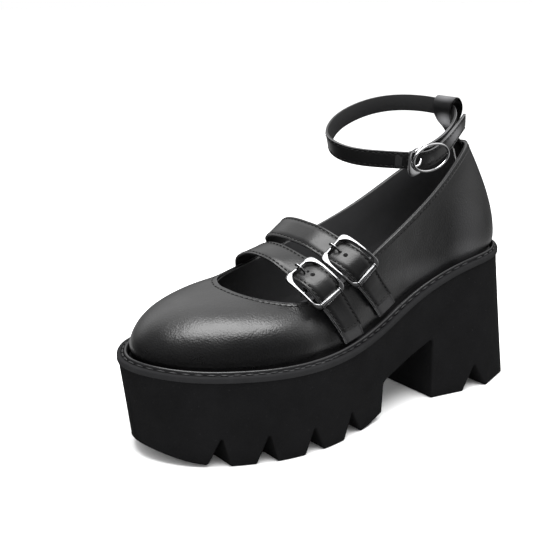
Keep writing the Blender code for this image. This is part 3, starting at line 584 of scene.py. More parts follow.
def sole_walls():
    """The two sides of the wall, from the sole's top edge and its draft."""
    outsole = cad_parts["outsole"]
    loops = [line for line, _, closed in sharp_lines(outsole, 40) if closed]
    edge = max(loops, key=lambda line: line[:, 2].mean())
    top = curve(edge, np.arange(0, len(edge), 0.125), closed=True)
    along = np.roll(top, -1, axis=0) - np.roll(top, 1, axis=0)
    inward = unit(np.cross([0.0, 0.0, 1.0], along * [1.0, 1.0, 0.0]))
    if np.sum(inward * (top.mean(0) - top)) < 0.0:
        inward = -inward
    draft = []
    for point, direction in zip(top, inward):
        start = Vector(point - direction * DRAFT_REACH) - Vector((0.0, 0.0, DRAFT_DEPTH))
        hit = SOLE_TREE.ray_cast(start, Vector(direction))[0]
        draft.append((np.array(hit) - point) @ direction / DRAFT_DEPTH)
    draft = np.mean([np.roll(draft, step) for step in range(-8, 9)], axis=0)
    foot = top + inward * (draft * top[:, 2])[:, None]
    foot[:, 2] = 0.0
    toe, heel, count = int(np.argmin(top[:, 1])), int(np.argmax(top[:, 1])), len(top)
    out = np.arange(toe, toe + (heel - toe) % count + 1) % count
    home = np.arange(heel, heel + (toe - heel) % count + 1)[::-1] % count
    return [SoleWall(top[side], foot[side], inward[side]) for side in (out, home)]


def even_out(places, reach=6):
    """Places drawn towards their neighbours' middle, with the first and last kept."""
    before = 2 * places[0] - places[reach:0:-1]
    after = 2 * places[-1] - places[-2 : -reach - 2 : -1]
    padded = np.concatenate([before, places, after])
    return np.convolve(padded, np.ones(2 * reach + 1) / (2 * reach + 1), mode="valid")


def sole_stations(wall):
    """Side view of each section, as y and height, and its normal out of the sole."""
    line, normals = tread_points()
    fans = []
    for near_toe in (True, False):
        order = slice(None) if near_toe else slice(None, None, -1)
        run = wall.run if near_toe else wall.run[-1] - wall.run
        for distance in np.arange(0.4 * FAN_STEP, FAN, FAN_STEP):
            place = np.interp(distance, run[order], wall.places[order])
            height = 8 * MM if near_toe else 0.0
            for _ in range(4):  # at the toe, a section's height and place depend on each other
                y = wall.point(place, height)[1]
                height = np.interp(y, line[:, 0], line[:, 1]) if near_toe else 0.0
            fans.append((y, height))
    fans = np.array(sorted(fans))
    toe_fan, heel_fan = fans[fans[:, 0] < 0.0], fans[fans[:, 0] > 0.0]
    middle = line[(line[:, 0] > toe_fan[-1, 0] + MM) & (line[:, 0] < heel_fan[0, 0] - MM)]
    rows = np.vstack([toe_fan, middle, heel_fan])
    nearest = [int(np.argmin(np.linalg.norm(line - row, axis=1))) for row in rows]
    return rows, normals[nearest]


def wall_column(wall, low, high, height, normal):
    """One side of a section: round its lower edge, and up the wall from place low to high."""
    corner = wall.point(low, height)
    inward = wall.row(wall.inward, low)
    down = np.array([0.0, normal[0], normal[1]])
    start = corner - down * TREAD_EDGE
    start -= inward * ((start - wall.point(low, start[2])) @ inward)
    share = start[2] / wall.row(wall.top, low)[2]
    column = []
    for part in np.linspace(0.0, 1.0, WALL_ROWS):
        place = low + (high - low) * part
        rise = share + (1.0 - share) * part
        level = wall.point(place, rise * wall.row(wall.top, place)[2])
        slip = (start - wall.point(low, start[2])) * (1.0 - part) ** 3
        column.append(level + slip)
    centre = start + inward * TREAD_EDGE
    for turn in np.linspace(0.0, 0.5 * math.pi, ROUND_ROWS)[1:]:
        out = -inward * math.cos(turn) + down * math.sin(turn)
        column.insert(0, centre + out * TREAD_EDGE)
    return column


def between(first, last, count):
    """The points that cut the way from first to last into this many steps."""
    return [first + (last - first) * k / count for k in range(1, count)]


def make_outsole():
    """Platform, arch and heel in one: sections across the shoe, lofted from the toe to the heel."""
    walls = sole_walls()
    rows, normals = sole_stations(walls[0])
    places = [np.array([wall.place_at(*row) for row in rows]) for wall in walls]
    tops = [even_out(even_out(found)) for found in places]
    rings = []
    for index, ((_, height), normal) in enumerate(zip(rows, normals)):
        first, second = (
            wall_column(wall, low[index], high[index], height, normal)
            for wall, low, high in zip(walls, places, tops)
        )
        under = between(first[0], second[0], UNDER_ROWS)
        over = between(second[-1], first[-1], OVER_ROWS)
        rings.append([*under, *second, *over, *first[::-1]])
    outsole = loft("outsole_foam", rings)
    for corner in outsole.data.vertices:
        x, y, z = corner.co
        back = np.clip((y - HEEL_BREAST) / (HEEL_BACK - HEEL_BREAST), 0.0, 1.0)
        fall = np.clip(1.0 - z / HEEL_TOP, 0.0, 1.0)
        corner.co.y += HEEL_FLARE * back**2 * fall
        corner.co.x += HEEL_SPREAD * back * fall * x / HEEL_HALF_WIDTH
    return hand_over(outsole, [SOLE_FOAM], ["outsole"], smooth=50.0)


# Upper --------------------------------------------------------------------------------------

RIM_ROUND = 0.5 * MM
RIM_ANGLE = math.radians(50)
NEAR_SOLE = 1.5 * MM  # the upper's foot is this near the sole
INSIDE_VAMP = Vector((0.0, -0.09, 0.058))  # a place near the inner wall
TUCK_REACH = 5.0 * MM
TUCK_DEPTH = 1.6 * MM
TUCK_TURN = 75 * MM  # nearer the tips than this, the way in turns toward the shoe's middle
# Soft trough in the upper beside the front strap: both ends, the way in, its depth and reach,
# and how it fades past its ends and across the shoe.
TROUGH = Vector((0.030, -0.037, 0.080)), Vector((0.050, -0.036, 0.060))
TROUGH_IN = Vector((-0.7, 0.0, -0.7))
TROUGH_DEPTH = 1.6 * MM
TROUGH_REACH = 7 * MM
TROUGH_END = 12 * MM
TROUGH_SIDE = 10 * MM
# A stitch's pitch, length, radius and slant.
TOPLINE_STITCH = 3.0 * MM, 2.1 * MM, 0.34 * MM, 16.0


def press_trough(upper):
    first, last = TROUGH
    line = last - first
    for corner in upper.data.vertices:
        along = (corner.co - first).dot(line) / line.length_squared
        beyond = max(0.0, -along, along - 1.0) * line.length
        away = corner.co - first - line * min(max(along, 0.0), 1.0)
        fade = math.exp(-((away.y / TROUGH_REACH) ** 2) - (beyond / TROUGH_END) ** 2)
        far = math.exp(-((max(0.0, abs(away.x) - TROUGH_END) / TROUGH_SIDE) ** 2))
        corner.co += TROUGH_IN * (TROUGH_DEPTH * fade * far)


def tuck_in(upper):
    """Draws the leather in where it goes down behind the welt's rib."""
    for corner in upper.data.vertices:
        gap = WELT_TREE.find_nearest(corner.co)[3]
        if gap < TUCK_REACH:
            level = min(max(corner.co.y, -TUCK_TURN), TUCK_TURN)
            inward = (Vector((0.0, level, corner.co.z)) - corner.co).normalized()
            corner.co += inward * TUCK_DEPTH * (1.0 - gap / TUCK_REACH) ** 2


def near_sole(point):
    """True for a point on the upper's foot."""
    return SOLE_TREE.find_nearest(point)[3] < NEAR_SOLE


def pick_rims(upper, at_foot):
    """In edit mode, selects the sharp edges at the upper's foot, or all the others."""

    def wanted(edge):
        places = [near_sole(corner.co) for corner in edge.verts]
        return edge.calc_face_angle(0.0) > RIM_ANGLE and places == [at_foot, at_foot]

    pick(upper, "EDGE", wanted)


def topline_cage(piece):
    """Outer top edge of the upper, in order, and the way down its wall from each corner."""
    rims = [line for line, _, closed in sharp_lines(piece, 50) if closed]
    rims = [line for line in rims if not near_sole(Vector(line[0]))]
    line = max(rims, key=lambda points: lengths(points)[-1])
    shell = bmesh.new()
    shell.from_mesh(piece.data)
    corners = search_tree((corner.co, corner.index) for corner in shell.verts)
    shell.verts.ensure_lookup_table()
    down = []
    for point in line:
        corner = shell.verts[corners.find(point)[1]]
        ways = [edge.other_vert(corner).co - corner.co for edge in corner.link_edges]
        ways = [way for way in ways if way.z < 0.0 and way.length > 2.2 * MM]
        steepest = max(ways, key=lambda way: -way.normalized().z * min(way.length, 6 * MM))
        down.append(unit(np.array(steepest)))
    shell.free()
    return line, np.array(down)


def make_upper():
    """Vamp, quarters and counter in one sheet of leather over its lining."""
    upper = take("upper", "upper_shell")
    line, down = topline_cage(upper)
    nearest = min(upper.data.polygons, key=lambda face: (face.center - INSIDE_VAMP).length)
    seat = nearest.center.copy()
    edit(upper)
    pick(upper, "FACE", lambda face: (face.calc_center_median() - seat).length < MERGE)
    bpy.ops.mesh.faces_select_linked_flat(sharpness=RIM_ANGLE)
    close()
    for finish in (UPPER_LEATHER, LINING):
        upper.data.materials.append(finish)
    paint(upper, 1, lambda face: face.select)
    edit(upper)
    pick_rims(upper, at_foot=False)
    bpy.ops.mesh.bevel(offset=RIM_ROUND, segments=2, affect="EDGES")
    pick_rims(upper, at_foot=True)
    bpy.ops.transform.edge_crease(value=1.0)
    close()
    subdivide(upper, 2)
    press_trough(upper)
    tuck_in(upper)
    around = np.arange(0.0, len(line), 0.05)
    dense = curve(line, around, closed=True)
    near = search_tree((point, 0) for point in dense)
    found = upper.data.attributes.new("topline", "FLOAT", "POINT")
    found.data.foreach_set("value", [near.find(corner.co)[2] for corner in upper.data.vertices])
    hand_over(upper, nodes=["upper"], smooth=60.0)
    shape = tree_of(upper)
    row, out = [], []
    for point, way in zip(dense, curve(down, around, closed=True)):
        spot, normal, _, _ = shape.find_nearest(Vector(point + unit(way) * ROW_BELOW_TOPLINE))
        row.append(spot)
        out.append(normal)
    stitch_row("topline_stitches", [(np.array(row), np.array(out))], *TOPLINE_STITCH)


# Stitches -----------------------------------------------------------------------------------


def stitch_row(name, rows, pitch, length, radius, slant=0.0, finish=None):
    """Rows of stitches in one piece. Each row is a line of points and the way out at each."""
    bpy.ops.mesh.primitive_uv_sphere_add(segments=6, ring_count=6, radius=1.0)
    pattern = bpy.context.object
    pattern.scale = (0.5 * length, radius, 0.8 * radius)
    bpy.ops.object.transform_apply(location=False, rotation=False, scale=True)
    copies = []
    turn = Matrix.Rotation(math.radians(slant), 3, "Z")
    for points, outs in rows:
        for place in spaced(points, pitch):
            low = int(min(place, len(points) - 2))
            part = place - low
            spot = points[low] * (1 - part) + points[low + 1] * part
            out = unit(outs[low] * (1 - part) + outs[low + 1] * part)
            along = points[low + 1] - points[low]
            along = unit(along - out * (along @ out))
            axes = Matrix(np.column_stack([along, np.cross(out, along), out])) @ turn
            stitch = bpy.data.objects.new(name, pattern.data.copy())
            stitch.data.transform(Matrix.Translation(spot) @ axes.to_4x4())
            bpy.context.scene.collection.objects.link(stitch)
            copies.append(stitch)
    bpy.data.objects.remove(pattern)
    select(*copies)
    bpy.ops.object.join()
    piece = bpy.context.object
    piece.name = piece.data.name = name
    return hand_over(piece, finishes=[finish or THREAD])


# Welt ---------------------------------------------------------------------------------------

# How much each line of the welt's section is lowered, in mm. Its groove, the fourth and fifth
# line, is also sunk and opened.
WELT_DROPS = {1: 0.3, 2: 0.6, 3: 0.5, 4: 0.4, 5: 0.4}
WELT_GROOVE = {4: -0.45, 5: 0.25}
WELT_GROOVE_DEPTH = 0.7 * MM
WELT_RIB_LINES = (6, 7, 8)
WELT_STITCH = 6.4 * MM, 5.1 * MM, 0.52 * MM  # pitch, length and radius
WELT_STITCH_LIFT = 1.15 * MM


def hoop_rings(node):
    """The corners of a hoop-shaped node as rings round the shoe, in order across its section."""
    hoop = take(node, f"{node}_rings")
    shell = bmesh.new()
    shell.from_mesh(hoop.data)
    shell.verts.ensure_lookup_table()
    middle = sum((corner.co for corner in shell.verts), Vector()) / len(shell.verts)

    def onward(corner, edge):
        beside = set(edge.link_faces)
        across = next(other for other in corner.link_edges if not beside & set(other.link_faces))
        return across.other_vert(corner), across

    def forward(corner):
        """The longer edge out of a corner that leads round the shoe by its outer side."""
        way = Vector((0.0, 0.0, 1.0)).cross(corner.co - middle)
        long_two = sorted(corner.link_edges, key=lambda edge: edge.calc_length())[-2:]
        return max(long_two, key=lambda edge: (edge.other_vert(corner).co - corner.co) @ way)

    def circuit(first, edge):
        """The corners met from the first, along an edge and straight on, till it comes again."""
        found, corner = [first], edge.other_vert(first)
        while corner is not first:
            found.append(corner)
            corner, edge = onward(corner, edge)
        return found

    start = shell.verts[0]
    section = circuit(start, min(start.link_edges, key=lambda edge: edge.calc_length()))
    rings = [circuit(first, forward(first)) for first in section]
    rings = [np.array([corner.co for corner in ring]) for ring in rings]
    shell.free()
    bpy.data.objects.remove(hoop)
    return rings


def make_welt():
    """Rubber strip round the upper: a face, a stitched groove and a raised rib."""
    rings = hoop_rings("welt")
    wide = int(np.argmax([np.ptp(ring[:, 0]) - ring[:, 2].mean() for ring in rings]))
    rings = rings[wide:] + rings[:wide]
    if np.ptp(rings[1][:, 0]) < np.ptp(rings[-1][:, 0]) - MM / 10:
        rings = rings[:1] + rings[:0:-1]
    around = np.arange(0, len(rings[0]), 0.25)
    dense = [curve(ring, around, closed=True) for ring in rings]
    for line, drop in WELT_DROPS.items():
        dense[line] = dense[line] - [0.0, 0.0, drop * MM]
    across = unit(dense[5] - dense[4])
    for line, shift in WELT_GROOVE.items():
        dense[line] = dense[line] + across * shift * MM - [0.0, 0.0, WELT_GROOVE_DEPTH]
    sections = [soften(soften(np.array(points), 0.25 * MM), 0.1 * MM) for points in zip(*dense)]
    welt = loft("welt_strip", sections, closed=True)
    hand_over(welt, [WELT_RUBBER, WELT_RIB], ["welt"], smooth=60.0)
    nearest = search_tree((point, line) for line in range(len(dense)) for point in dense[line])
    paint(welt, 1, lambda face: nearest.find(face.center)[1] in WELT_RIB_LINES)
    row = 0.5 * (dense[4] + dense[5])
    along = unit(np.roll(row, -1, axis=0) - np.roll(row, 1, axis=0))
    out = unit(np.cross(along, across))
    out *= np.sign(out[:, 2:3])
    rows = [(row + out * WELT_STITCH_LIFT, out)]
    stitch_row("welt_stitches", rows, *WELT_STITCH, finish=WAXED_THREAD)


# Straps -------------------------------------------------------------------------------------

STRAP_PITCH = 3.0 * MM
STRAP_STITCH = STRAP_PITCH, 0.68 * STRAP_PITCH, 0.38 * MM  # pitch, length and radius
# A strap's section from its edge inward: how far in and how deep, in mm; then the groove for
# its stitches, by the distance from the groove's middle.
STRAP_EDGE = [(0.0, 0.36), (0.12, 0.12), (0.42, 0.0)]
STRAP_GROOVE = [(-0.5, 0.0), (-0.15, 0.24), (0.15, 0.24), (0.5, 0.0)]
STRAP_CROWN = 0.06 * MM
STRAP_BEVEL = 0.22 * MM
NEAR_END = 15 * MM
END_STATION = -3  # where the row of stitches runs across a strap, in stations from its end


def strap_edges(node):
    """A strap's long edges, in step: outer face toe side and heel side, then the inner face's."""
    lines = []
    for line, _, _ in sharp_lines(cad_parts[node], 70):
        steps = unit(np.diff(line, axis=0))
        turns = np.sum(steps[1:] * steps[:-1], axis=1)
        cuts = [0, *(np.flatnonzero(turns < math.cos(math.radians(62))) + 1), len(line) - 1]
        lines += [line[low : high + 1] for low, high in zip(cuts, cuts[1:])]
    first, *others = sorted(lines, key=lambda line: lengths(line)[-1])[-4:]
    near_start = [np.linalg.norm(line[[0, -1]] - first[0], axis=1) for line in others]
    others = [line if a < b else line[::-1] for line, (a, b) in zip(others, near_start)]
    others.sort(key=lambda line: np.linalg.norm(line - first, axis=1).mean())
    pairs = [[first, others[0]], others[1:]]
    pairs = [sorted(pair, key=lambda line: -lengths(line)[-1]) for pair in pairs]
    pairs.sort(key=lambda pair: pair[0][:, 1].mean())
    return [pairs[0][0], pairs[1][0], pairs[0][1], pairs[1][1]]


class Strap:
    """Sections of a strap: where its edges are, the way across it and the way into it."""

    def __init__(self, node, per_station, cut=0.0, top=0.0, slant=0.0):
        edges = strap_edges(node)
        at = np.arange(0, len(edges[0]) - 1 + 1e-9, 1.0 / per_station)
        self.toe, self.heel, low_toe, low_heel = (curve(edge, at) for edge in edges)
        inner = 0.5 * (low_toe + low_heel - self.toe - self.heel)
        along = lengths(self.toe)
        kept = along <= along[-1] - cut
        self.toe, self.heel, inner = self.toe[kept], self.heel[kept], inner[kept]
        self.lean(top, slant)
        self.width = np.linalg.norm(self.heel - self.toe, axis=1)
        self.across = unit(self.heel - self.toe)
        inner -= self.across * np.sum(inner * self.across, axis=1, keepdims=True)
        self.inward = unit(inner)

    def lean(self, top, slant):
        """Leads the outer end toward the heel, as high over the upper as it was."""
        for edge in (self.toe, self.heel):
            for index in np.flatnonzero((edge[:, 2] < top) & (edge[:, 0] > 0.0)):
                old = Vector(edge[index])
                new = old + Vector((0.0, slant * (top - old.z), 0.0))
                under, normal = UPPER_TREE.find_nearest(old)[:2]
                height = (old - under) @ normal
                under, normal = UPPER_TREE.find_nearest(new)[:2]
                edge[index] = new + normal * (height - (new - under) @ normal)

    def line(self, inset, depth, from_heel=False):
        """A line along the strap, this far in from an edge and this deep under its face."""
        edge, sign = (self.heel, -1.0) if from_heel else (self.toe, 1.0)
        return edge + self.across * sign * inset + self.inward * depth


def strap_body(name, strap, thick, groove, crown=STRAP_CROWN, leather=STRAP_LEATHER):
    """A flat strap with rounded edges and a pressed groove along each one for its stitches."""
    half = [(inset * MM, depth * MM) for inset, depth in STRAP_EDGE]
    half += [(groove + inset * MM, depth * MM) for inset, depth in STRAP_GROOVE]
    share = 0.5 * float(strap.width.mean())
    half += [(0.55 * share, -0.7 * crown), (share, -crown)]
    low = [(inset * MM, thick - depth * MM) for inset, depth in STRAP_EDGE]
    rows = [strap.line(*place) for place in half]
    rows += [strap.line(*place, from_heel=True) for place in [*half[-2::-1], *low]]
    rows += [strap.line(*place) for place in low[::-1]]
    body = loft(name, np.stack(rows, axis=1))
    for finish in (leather, EDGE_PAINT_AND_HIGHLIGHT, STRAP_BACK):
        body.data.materials.append(finish)
    count, top = len(rows), 2 * len(half) - 1

    def columns(face):
        return {index % count for index in face.vertices}

    paint(body, 2, lambda face: columns(face) == {top + 2, count - 3})
    # The rounded top edges take the pale edge paint, partly a painted highlight.
    paint(body, 1, lambda face: columns(face) <= {0, 1} or columns(face) <= {top - 2, top - 1})
    edit(body)
    pick(body, "EDGE", lambda edge: edge.calc_face_angle(0.0) > math.radians(60))
    bpy.ops.mesh.bevel(offset=STRAP_BEVEL, segments=2, affect="EDGES")
    close()
    tip = Vector(0.5 * (strap.toe[-1] + strap.heel[-1]))
    along = Vector(unit(strap.toe[-1] - strap.toe[-3]))
    paint(body, 2, lambda f: f.normal @ along > 0.5 and (f.center - tip).length < NEAR_END)
    return body


def strap_stitches(name, strap, inset):
    """Rows along both edges, and one across the strap near its free end."""
    outs = -strap.inward
    sides = [strap.line(inset, 0.0, from_heel) for from_heel in (False, True)]
    start, finish = (side[END_STATION] for side in sides)
    share = np.linspace(0.0, 1.0, 9)[:, None]
    across = start + (finish - start) * share, np.repeat(outs[[END_STATION]], len(share), axis=0)
    return stitch_row(name, [(side, outs) for side in sides] + [across], *STRAP_STITCH)


# Instep buckles -----------------------------------------------------------------------------

# Middle of each frame: x, height in the strap's plane, its fall towards the outer side, the
# plane's lean back and the plane's own place along its normal, in mm and degrees.
INSTEP_BUCKLES = {
    "front": (34.4, 93.8, 38.5, 28.5, 10.6),
    "rear": (33.2, 82.6, 43.5, 36.5, 47.9),
}
# How much shorter the free end and the strap under it are cut, where they start to lean toward
# the heel, and how far they lean for each part that they fall.
INSTEP_ENDS = {
    "front": (1.2 * MM, 1.4 * MM, 82 * MM, 0.14),
    "rear": (4.0 * MM, 4.0 * MM, 88 * MM, 0.19),
}
BILLET_THICK = 1.45 * MM
CHAPE_THICK = 0.95 * MM
BILLET_INSET = 1.5 * MM  # stitches from the strap's edge
CHAPE_INSET = 1.4 * MM
# A strap's holes: how far along it from the frame's middle, and their radius, in mm.
HOLES = [(-6.7, 0.9), (-3.4, 1.3)]
HOLE_SEARCH = 16 * MM
BOX_CENTRE = Vector((2.52, 0.42, 0.0)) * MM
FRAME_THICK = 2.0
FRAME_STRETCH = (1.065, 1.02)  # along the strap and aside
FRAME_RAISE = 0.9
ARCH = 38.0  # radius of the frame's arch along the strap
BAR_AT = 11.25
# How oval the frame's section is, by the place along it. 1 is an oval, 0 a rectangle.
FRAME_OVAL = [-12.0, -8.0, 1.0, 9.0], [0.45, 0.4, 0.45, 0.5]

# One arm of the frame from the inner end to the middle of the outer end: the outer line and the
# inner line in step, as (along, aside) in mm.
FRAME_ARM = [
    ((-12.0, 5.1), (-10.3, 5.1)),
    ((-12.15, 5.8), (-10.0, 5.4)),
    ((-12.1, 7.3), (-9.4, 6.0)),
    ((-11.75, 8.4), (-8.6, 6.7)),
    ((-11.1, 9.3), (-7.7, 7.3)),
    ((-10.0, 9.9), (-6.5, 7.9)),
    ((-8.3, 10.15), (-4.9, 8.35)),
    ((-4.0, 10.2), (-2.0, 8.75)),
    ((1.0, 10.2), (1.8, 8.85)),
    ((5.5, 10.2), (5.6, 8.9)),
    ((9.4, 10.2), (7.9, 8.7)),
    ((10.6, 10.0), (8.6, 8.2)),
    ((11.5, 9.4), (9.2, 7.5)),
    ((12.15, 8.4), (9.8, 7.0)),
    ((12.25, 7.0), (10.4, 6.6)),
    ((12.1, 5.6), (10.5, 5.6)),
    ((12.1, 2.8), (10.5, 2.8)),
    ((12.1, 0.0), (10.5, 0.0)),
]
# The frame's round bars: both ends, as (along, aside, out), radius, and rounding of the rims.
FRAME_RODS = {
    "inner bar": ((-BAR_AT, -6.0, 0.0), (-BAR_AT, 6.0, 0.0), 0.82),
    "centre bar": ((0.0, -9.4, -2.0), (0.0, 9.4, -2.0), 0.7),
    "toe post": ((0.0, -9.55, -2.2), (0.0, -9.55, 0.2), 0.6),
    "heel post": ((0.0, 9.55, -2.2), (0.0, 9.55, 0.2), 0.6),
    "toe collar": ((BAR_AT, -7.1, 0.0), (BAR_AT, -6.35, 0.0), 1.6, 0.25),
    "heel collar": ((BAR_AT, 6.35, 0.0), (BAR_AT, 7.1, 0.0), 1.6, 0.25),
}
ROLLER = (BAR_AT, -6.2, 0.0), (BAR_AT, 6.2, 0.0), 1.45, 0.0, 32
ROLLER_SEAMS = [(0.25, 0.3), (0.85, 0.2), (-0.5, 0.2)]  # how far round, and how deep
TUBE_SIDES = 12
# The prong from its hole, up and over the inner bar: how far along and out, in mm; then its
# radius at some of its sections.
PRONG = [(-6.3, -2.2), (-6.6, -0.8), (-7.1, 0.6), (-8.2, 1.6)]
PRONG += [(-9.8, 2.0), (-11.2, 1.85), (-12.3, 1.35), (-12.9, 0.7)]
PRONG_RADII = [0, 10, 15, 22, 23], [0.5, 0.6, 0.75, 0.9, 0.7]


def punch(piece, spot, out, radius, finish):
    """Cuts a round hole through a strap, square to its face."""
    bpy.ops.mesh.primitive_cylinder_add(vertices=24, radius=radius, depth=6 * MM)
    cutter = bpy.context.object
    axis = Vector(out).to_track_quat("Z", "Y").to_matrix().to_4x4()
    cutter.data.transform(Matrix.Translation(spot) @ axis)
    for material in piece.data.materials:
        cutter.data.materials.append(material)
    paint(cutter, finish, lambda face: True)
    modifier(piece, "BOOLEAN", operation="DIFFERENCE", solver="EXACT", object=cutter)
    bpy.data.objects.remove(cutter)


def bar_section(outer, inner, half, roundness):
    """A flat bar's section between an outer and an inner point. 1 is an oval, 0 a rectangle."""
    turns = 2.0 * math.pi * (np.arange(16) + 0.5) / 16
    out, rise = (np.sign(way) * np.abs(way) ** roundness for way in (np.cos(turns), np.sin(turns)))
    outer, inner = np.array([*outer, 0.0]), np.array([*inner, 0.0])
    flat = 0.5 * (outer + inner) + np.outer(out, 0.5 * (outer - inner))
    return flat + np.outer(rise, [0.0, 0.0, half])


def buckle_axes(key):
    """Matrix from a frame's own (along, aside, out) in mm to the shoe."""
    x, height, fall, pitch, plane = INSTEP_BUCKLES[key]
    fall, pitch = math.radians(fall), math.radians(pitch)
    back = Vector((0.0, math.cos(pitch), math.sin(pitch)))
    up = Vector((0.0, -math.sin(pitch), math.cos(pitch)))
    along = Vector((math.cos(fall), 0.0, 0.0)) - up * math.sin(fall)
    out = Vector((math.sin(fall), 0.0, 0.0)) + up * math.cos(fall)
    place = Matrix((along, back, out)).transposed().to_4x4()
    origin = Vector((x, 0.0, 0.0)) + back * plane + up * height
    stretch = Matrix.Diagonal((*FRAME_STRETCH, 1.0, 1.0))
    return Matrix.Translation(origin * MM - BOX_CENTRE) @ place @ Matrix.Scale(MM, 4) @ stretch


def rod(start, end, radius, bevel=0.0, sides=16):
    """A round bar between two points."""
    start, end = Vector(start), Vector(end)
    bpy.ops.mesh.primitive_cylinder_add(vertices=sides, radius=radius, depth=(end - start).length)
    piece = bpy.context.object
    turn = (end - start).to_track_quat("Z", "Y").to_matrix().to_4x4()
    piece.data.transform(Matrix.Translation((start + end) / 2) @ turn)
    if bevel:
        modifier(piece, "BEVEL", width=bevel, segments=2, angle_limit=math.radians(50))
    return piece


def tube(name, line, radii, closed=False, up=(0.0, 0.0, 1.0)):
    """A round wire along a line, as wide at each point as its radius says."""
    line = np.asarray(line, float)
    if closed:
        along = unit(np.roll(line, -1, axis=0) - np.roll(line, 1, axis=0))
    else:
        along = unit(np.gradient(line, axis=0))
    side = unit(np.cross(np.array(up, float), along))
    rise = np.cross(along, side)
    turns = 2.0 * math.pi * np.arange(TUBE_SIDES) / TUBE_SIDES
    rings = [
        point + radius * (np.outer(np.cos(turns), s) + np.outer(np.sin(turns), r))
        for point, radius, s, r in zip(line, np.broadcast_to(radii, len(line)), side, rise)
    ]
    return loft(name, rings, closed=closed)


def make_buckle(key, axes):
    """Polished frame with heavy inner corners, an inner bar, a centre bar and a roller."""
    arm = FRAME_ARM + [((a, -s), (c, -d)) for (a, s), (c, d) in FRAME_ARM[-2::-1]]
    rings = [
        bar_section(outer, inner, FRAME_THICK / 2, float(np.interp(outer[0], *FRAME_OVAL)))
        for outer, inner in arm
    ]
    plate = loft(f"buckle_frame_{key}", rings)
    parts = [rod(*sizes) for sizes in FRAME_RODS.values()]
    roller = rod(*ROLLER)
    for across, deep in ROLLER_SEAMS:
        seam = Vector((across, 0.0, math.sqrt(1.0 - across * across)))
        edit(roller)
        pick(roller, "FACE", lambda face: face.normal.dot(seam) > 0.994 and len(face.verts) == 4)
        bpy.ops.mesh.extrude_region_shrink_fatten(TRANSFORM_OT_shrink_fatten={"value": -deep})
        close()
    modifier(roller, "BEVEL", width=0.12, segments=2, angle_limit=math.radians(60))
    select(*parts, roller, plate)
    bpy.ops.object.join()
    for corner in plate.data.vertices:
        if corner.co.z > -1.2:  # all but the centre bar, which lies straight
            corner.co.z += FRAME_RAISE - corner.co.x**2 / (2.0 * ARCH)
    plate.data.transform(axes)
    # The instep frame takes the darker nickel: painted shade on its reflections.
    hand_over(plate, [SHADE_DARKENED_NICKEL], [f"buckle_{key}"], smooth=50.0)


def make_prong(name, route, radii, axes, up, finish, node):
    """A prong along a smooth route, round in section."""
    fine = curve(route, np.linspace(0, len(route) - 1, len(radii)))
    prong = tube(name, fine, radii, up=up)
    prong.data.transform(axes)
    hand_over(prong, [finish], [node], smooth=60.0)


def make_instep_straps():
    for key, (billet_cut, chape_cut, top, slant) in INSTEP_ENDS.items():
        axes = buckle_axes(key)
        along = unit(np.array(axes.to_3x3() @ Vector((1.0, 0.0, 0.0))))
        strap = Strap(f"instep_strap_{key}", 4, billet_cut, top, slant)
        billet = strap_body(f"billet_{key}", strap, BILLET_THICK, BILLET_INSET)
        line = 0.5 * (strap.toe + strap.heel)
        from_middle = line - np.array(axes.translation)
        reach = from_middle @ along
        near = np.linalg.norm(from_middle, axis=1) < HOLE_SEARCH
        for distance, radius in HOLES:
            at = int(np.argmin(np.where(near, np.abs(reach - distance * MM), 1.0)))
            spot = line[at] + along * (distance * MM - reach[at])
            punch(billet, spot, -strap.inward[at], radius * MM, 1)
        hand_over(billet, nodes=[f"instep_strap_{key}"], smooth=40.0)
        strap_stitches(f"billet_stitches_{key}", strap, BILLET_INSET)
        chape = Strap(f"chape_{key}", 3, chape_cut, top, slant)
        body = strap_body(f"chape_strap_{key}", chape, CHAPE_THICK, CHAPE_INSET, 0.0, STRAP_END)
        hand_over(body, nodes=[f"chape_{key}"], smooth=40.0)
        make_buckle(key, axes)
        route = [(a, 0.0, o) for a, o in PRONG]
        radii = np.interp(np.arange(24), *PRONG_RADII)
        side = (0.0, 1.0, 0.0)
        make_prong(f"buckle_prong_{key}", route, radii, axes, side, SHADE_DARKENED_NICKEL, f"prong_{key}")


# Ankle strap, its hardware and the heel tab -------------------------------------------------

ANKLE_THICK = 1.6 * MM
ANKLE_INSET = 1.3 * MM
# The oval ring's half length and half width, and its wire's radius.
OVAL = 12.5 * MM, 7.35 * MM, 0.7 * MM
# The frame behind the oval, from the end under it round the front to the end on top: outer and
# inner line in step, as (back along the strap, up) from the oval's middle in mm.
ANKLE_FRAME = [
    ((-7.0, -7.6), (-7.4, -6.4)),
    ((-9.6, -8.3), (-8.6, -5.6)),
    ((-11.8, -8.5), (-9.8, -4.6)),
    ((-13.6, -8.0), (-10.9, -3.4)),
    ((-14.7, -6.6), (-11.8, -2.2)),
    ((-15.0, -4.2), (-12.5, -0.8)),
    ((-14.9, -1.0), (-12.9, 0.8)),
    ((-14.6, 3.5), (-13.0, 3.0)),
    ((-14.3, 5.4), (-12.8, 4.4)),
    ((-13.4, 6.7), (-12.2, 5.0)),
    ((-11.6, 7.2), (-11.2, 5.3)),
    ((-9.0, 7.2), (-9.0, 5.3)),
    ((-7.4, 7.1), (-7.4, 5.5)),
]
ANKLE_FRAME_BACK = [0.0, 0.0, 1.7]  # how far the frame lies behind the oval
ANKLE_RAIL = (-4.6, 6.3, -1.8), (2.3, 6.3, -1.8), 0.85, 0.25
ANKLE_PRONG = [(-11.6, -2.6, -1.0), (-10.6, -2.7, -0.3), (-9.2, -2.4, -0.2), (-8.0, -1.9, -0.5)]
ANKLE_PRONG += [(-6.8, -0.9, -1.1), (-5.9, 0.2, -1.9)]
LOOP_HEIGHT = 154 * MM  # where the tab's loop is squeezed, how far up and down, and how much
LOOP_REACH = 5 * MM
LOOP_SQUEEZE = 3.2 * MM


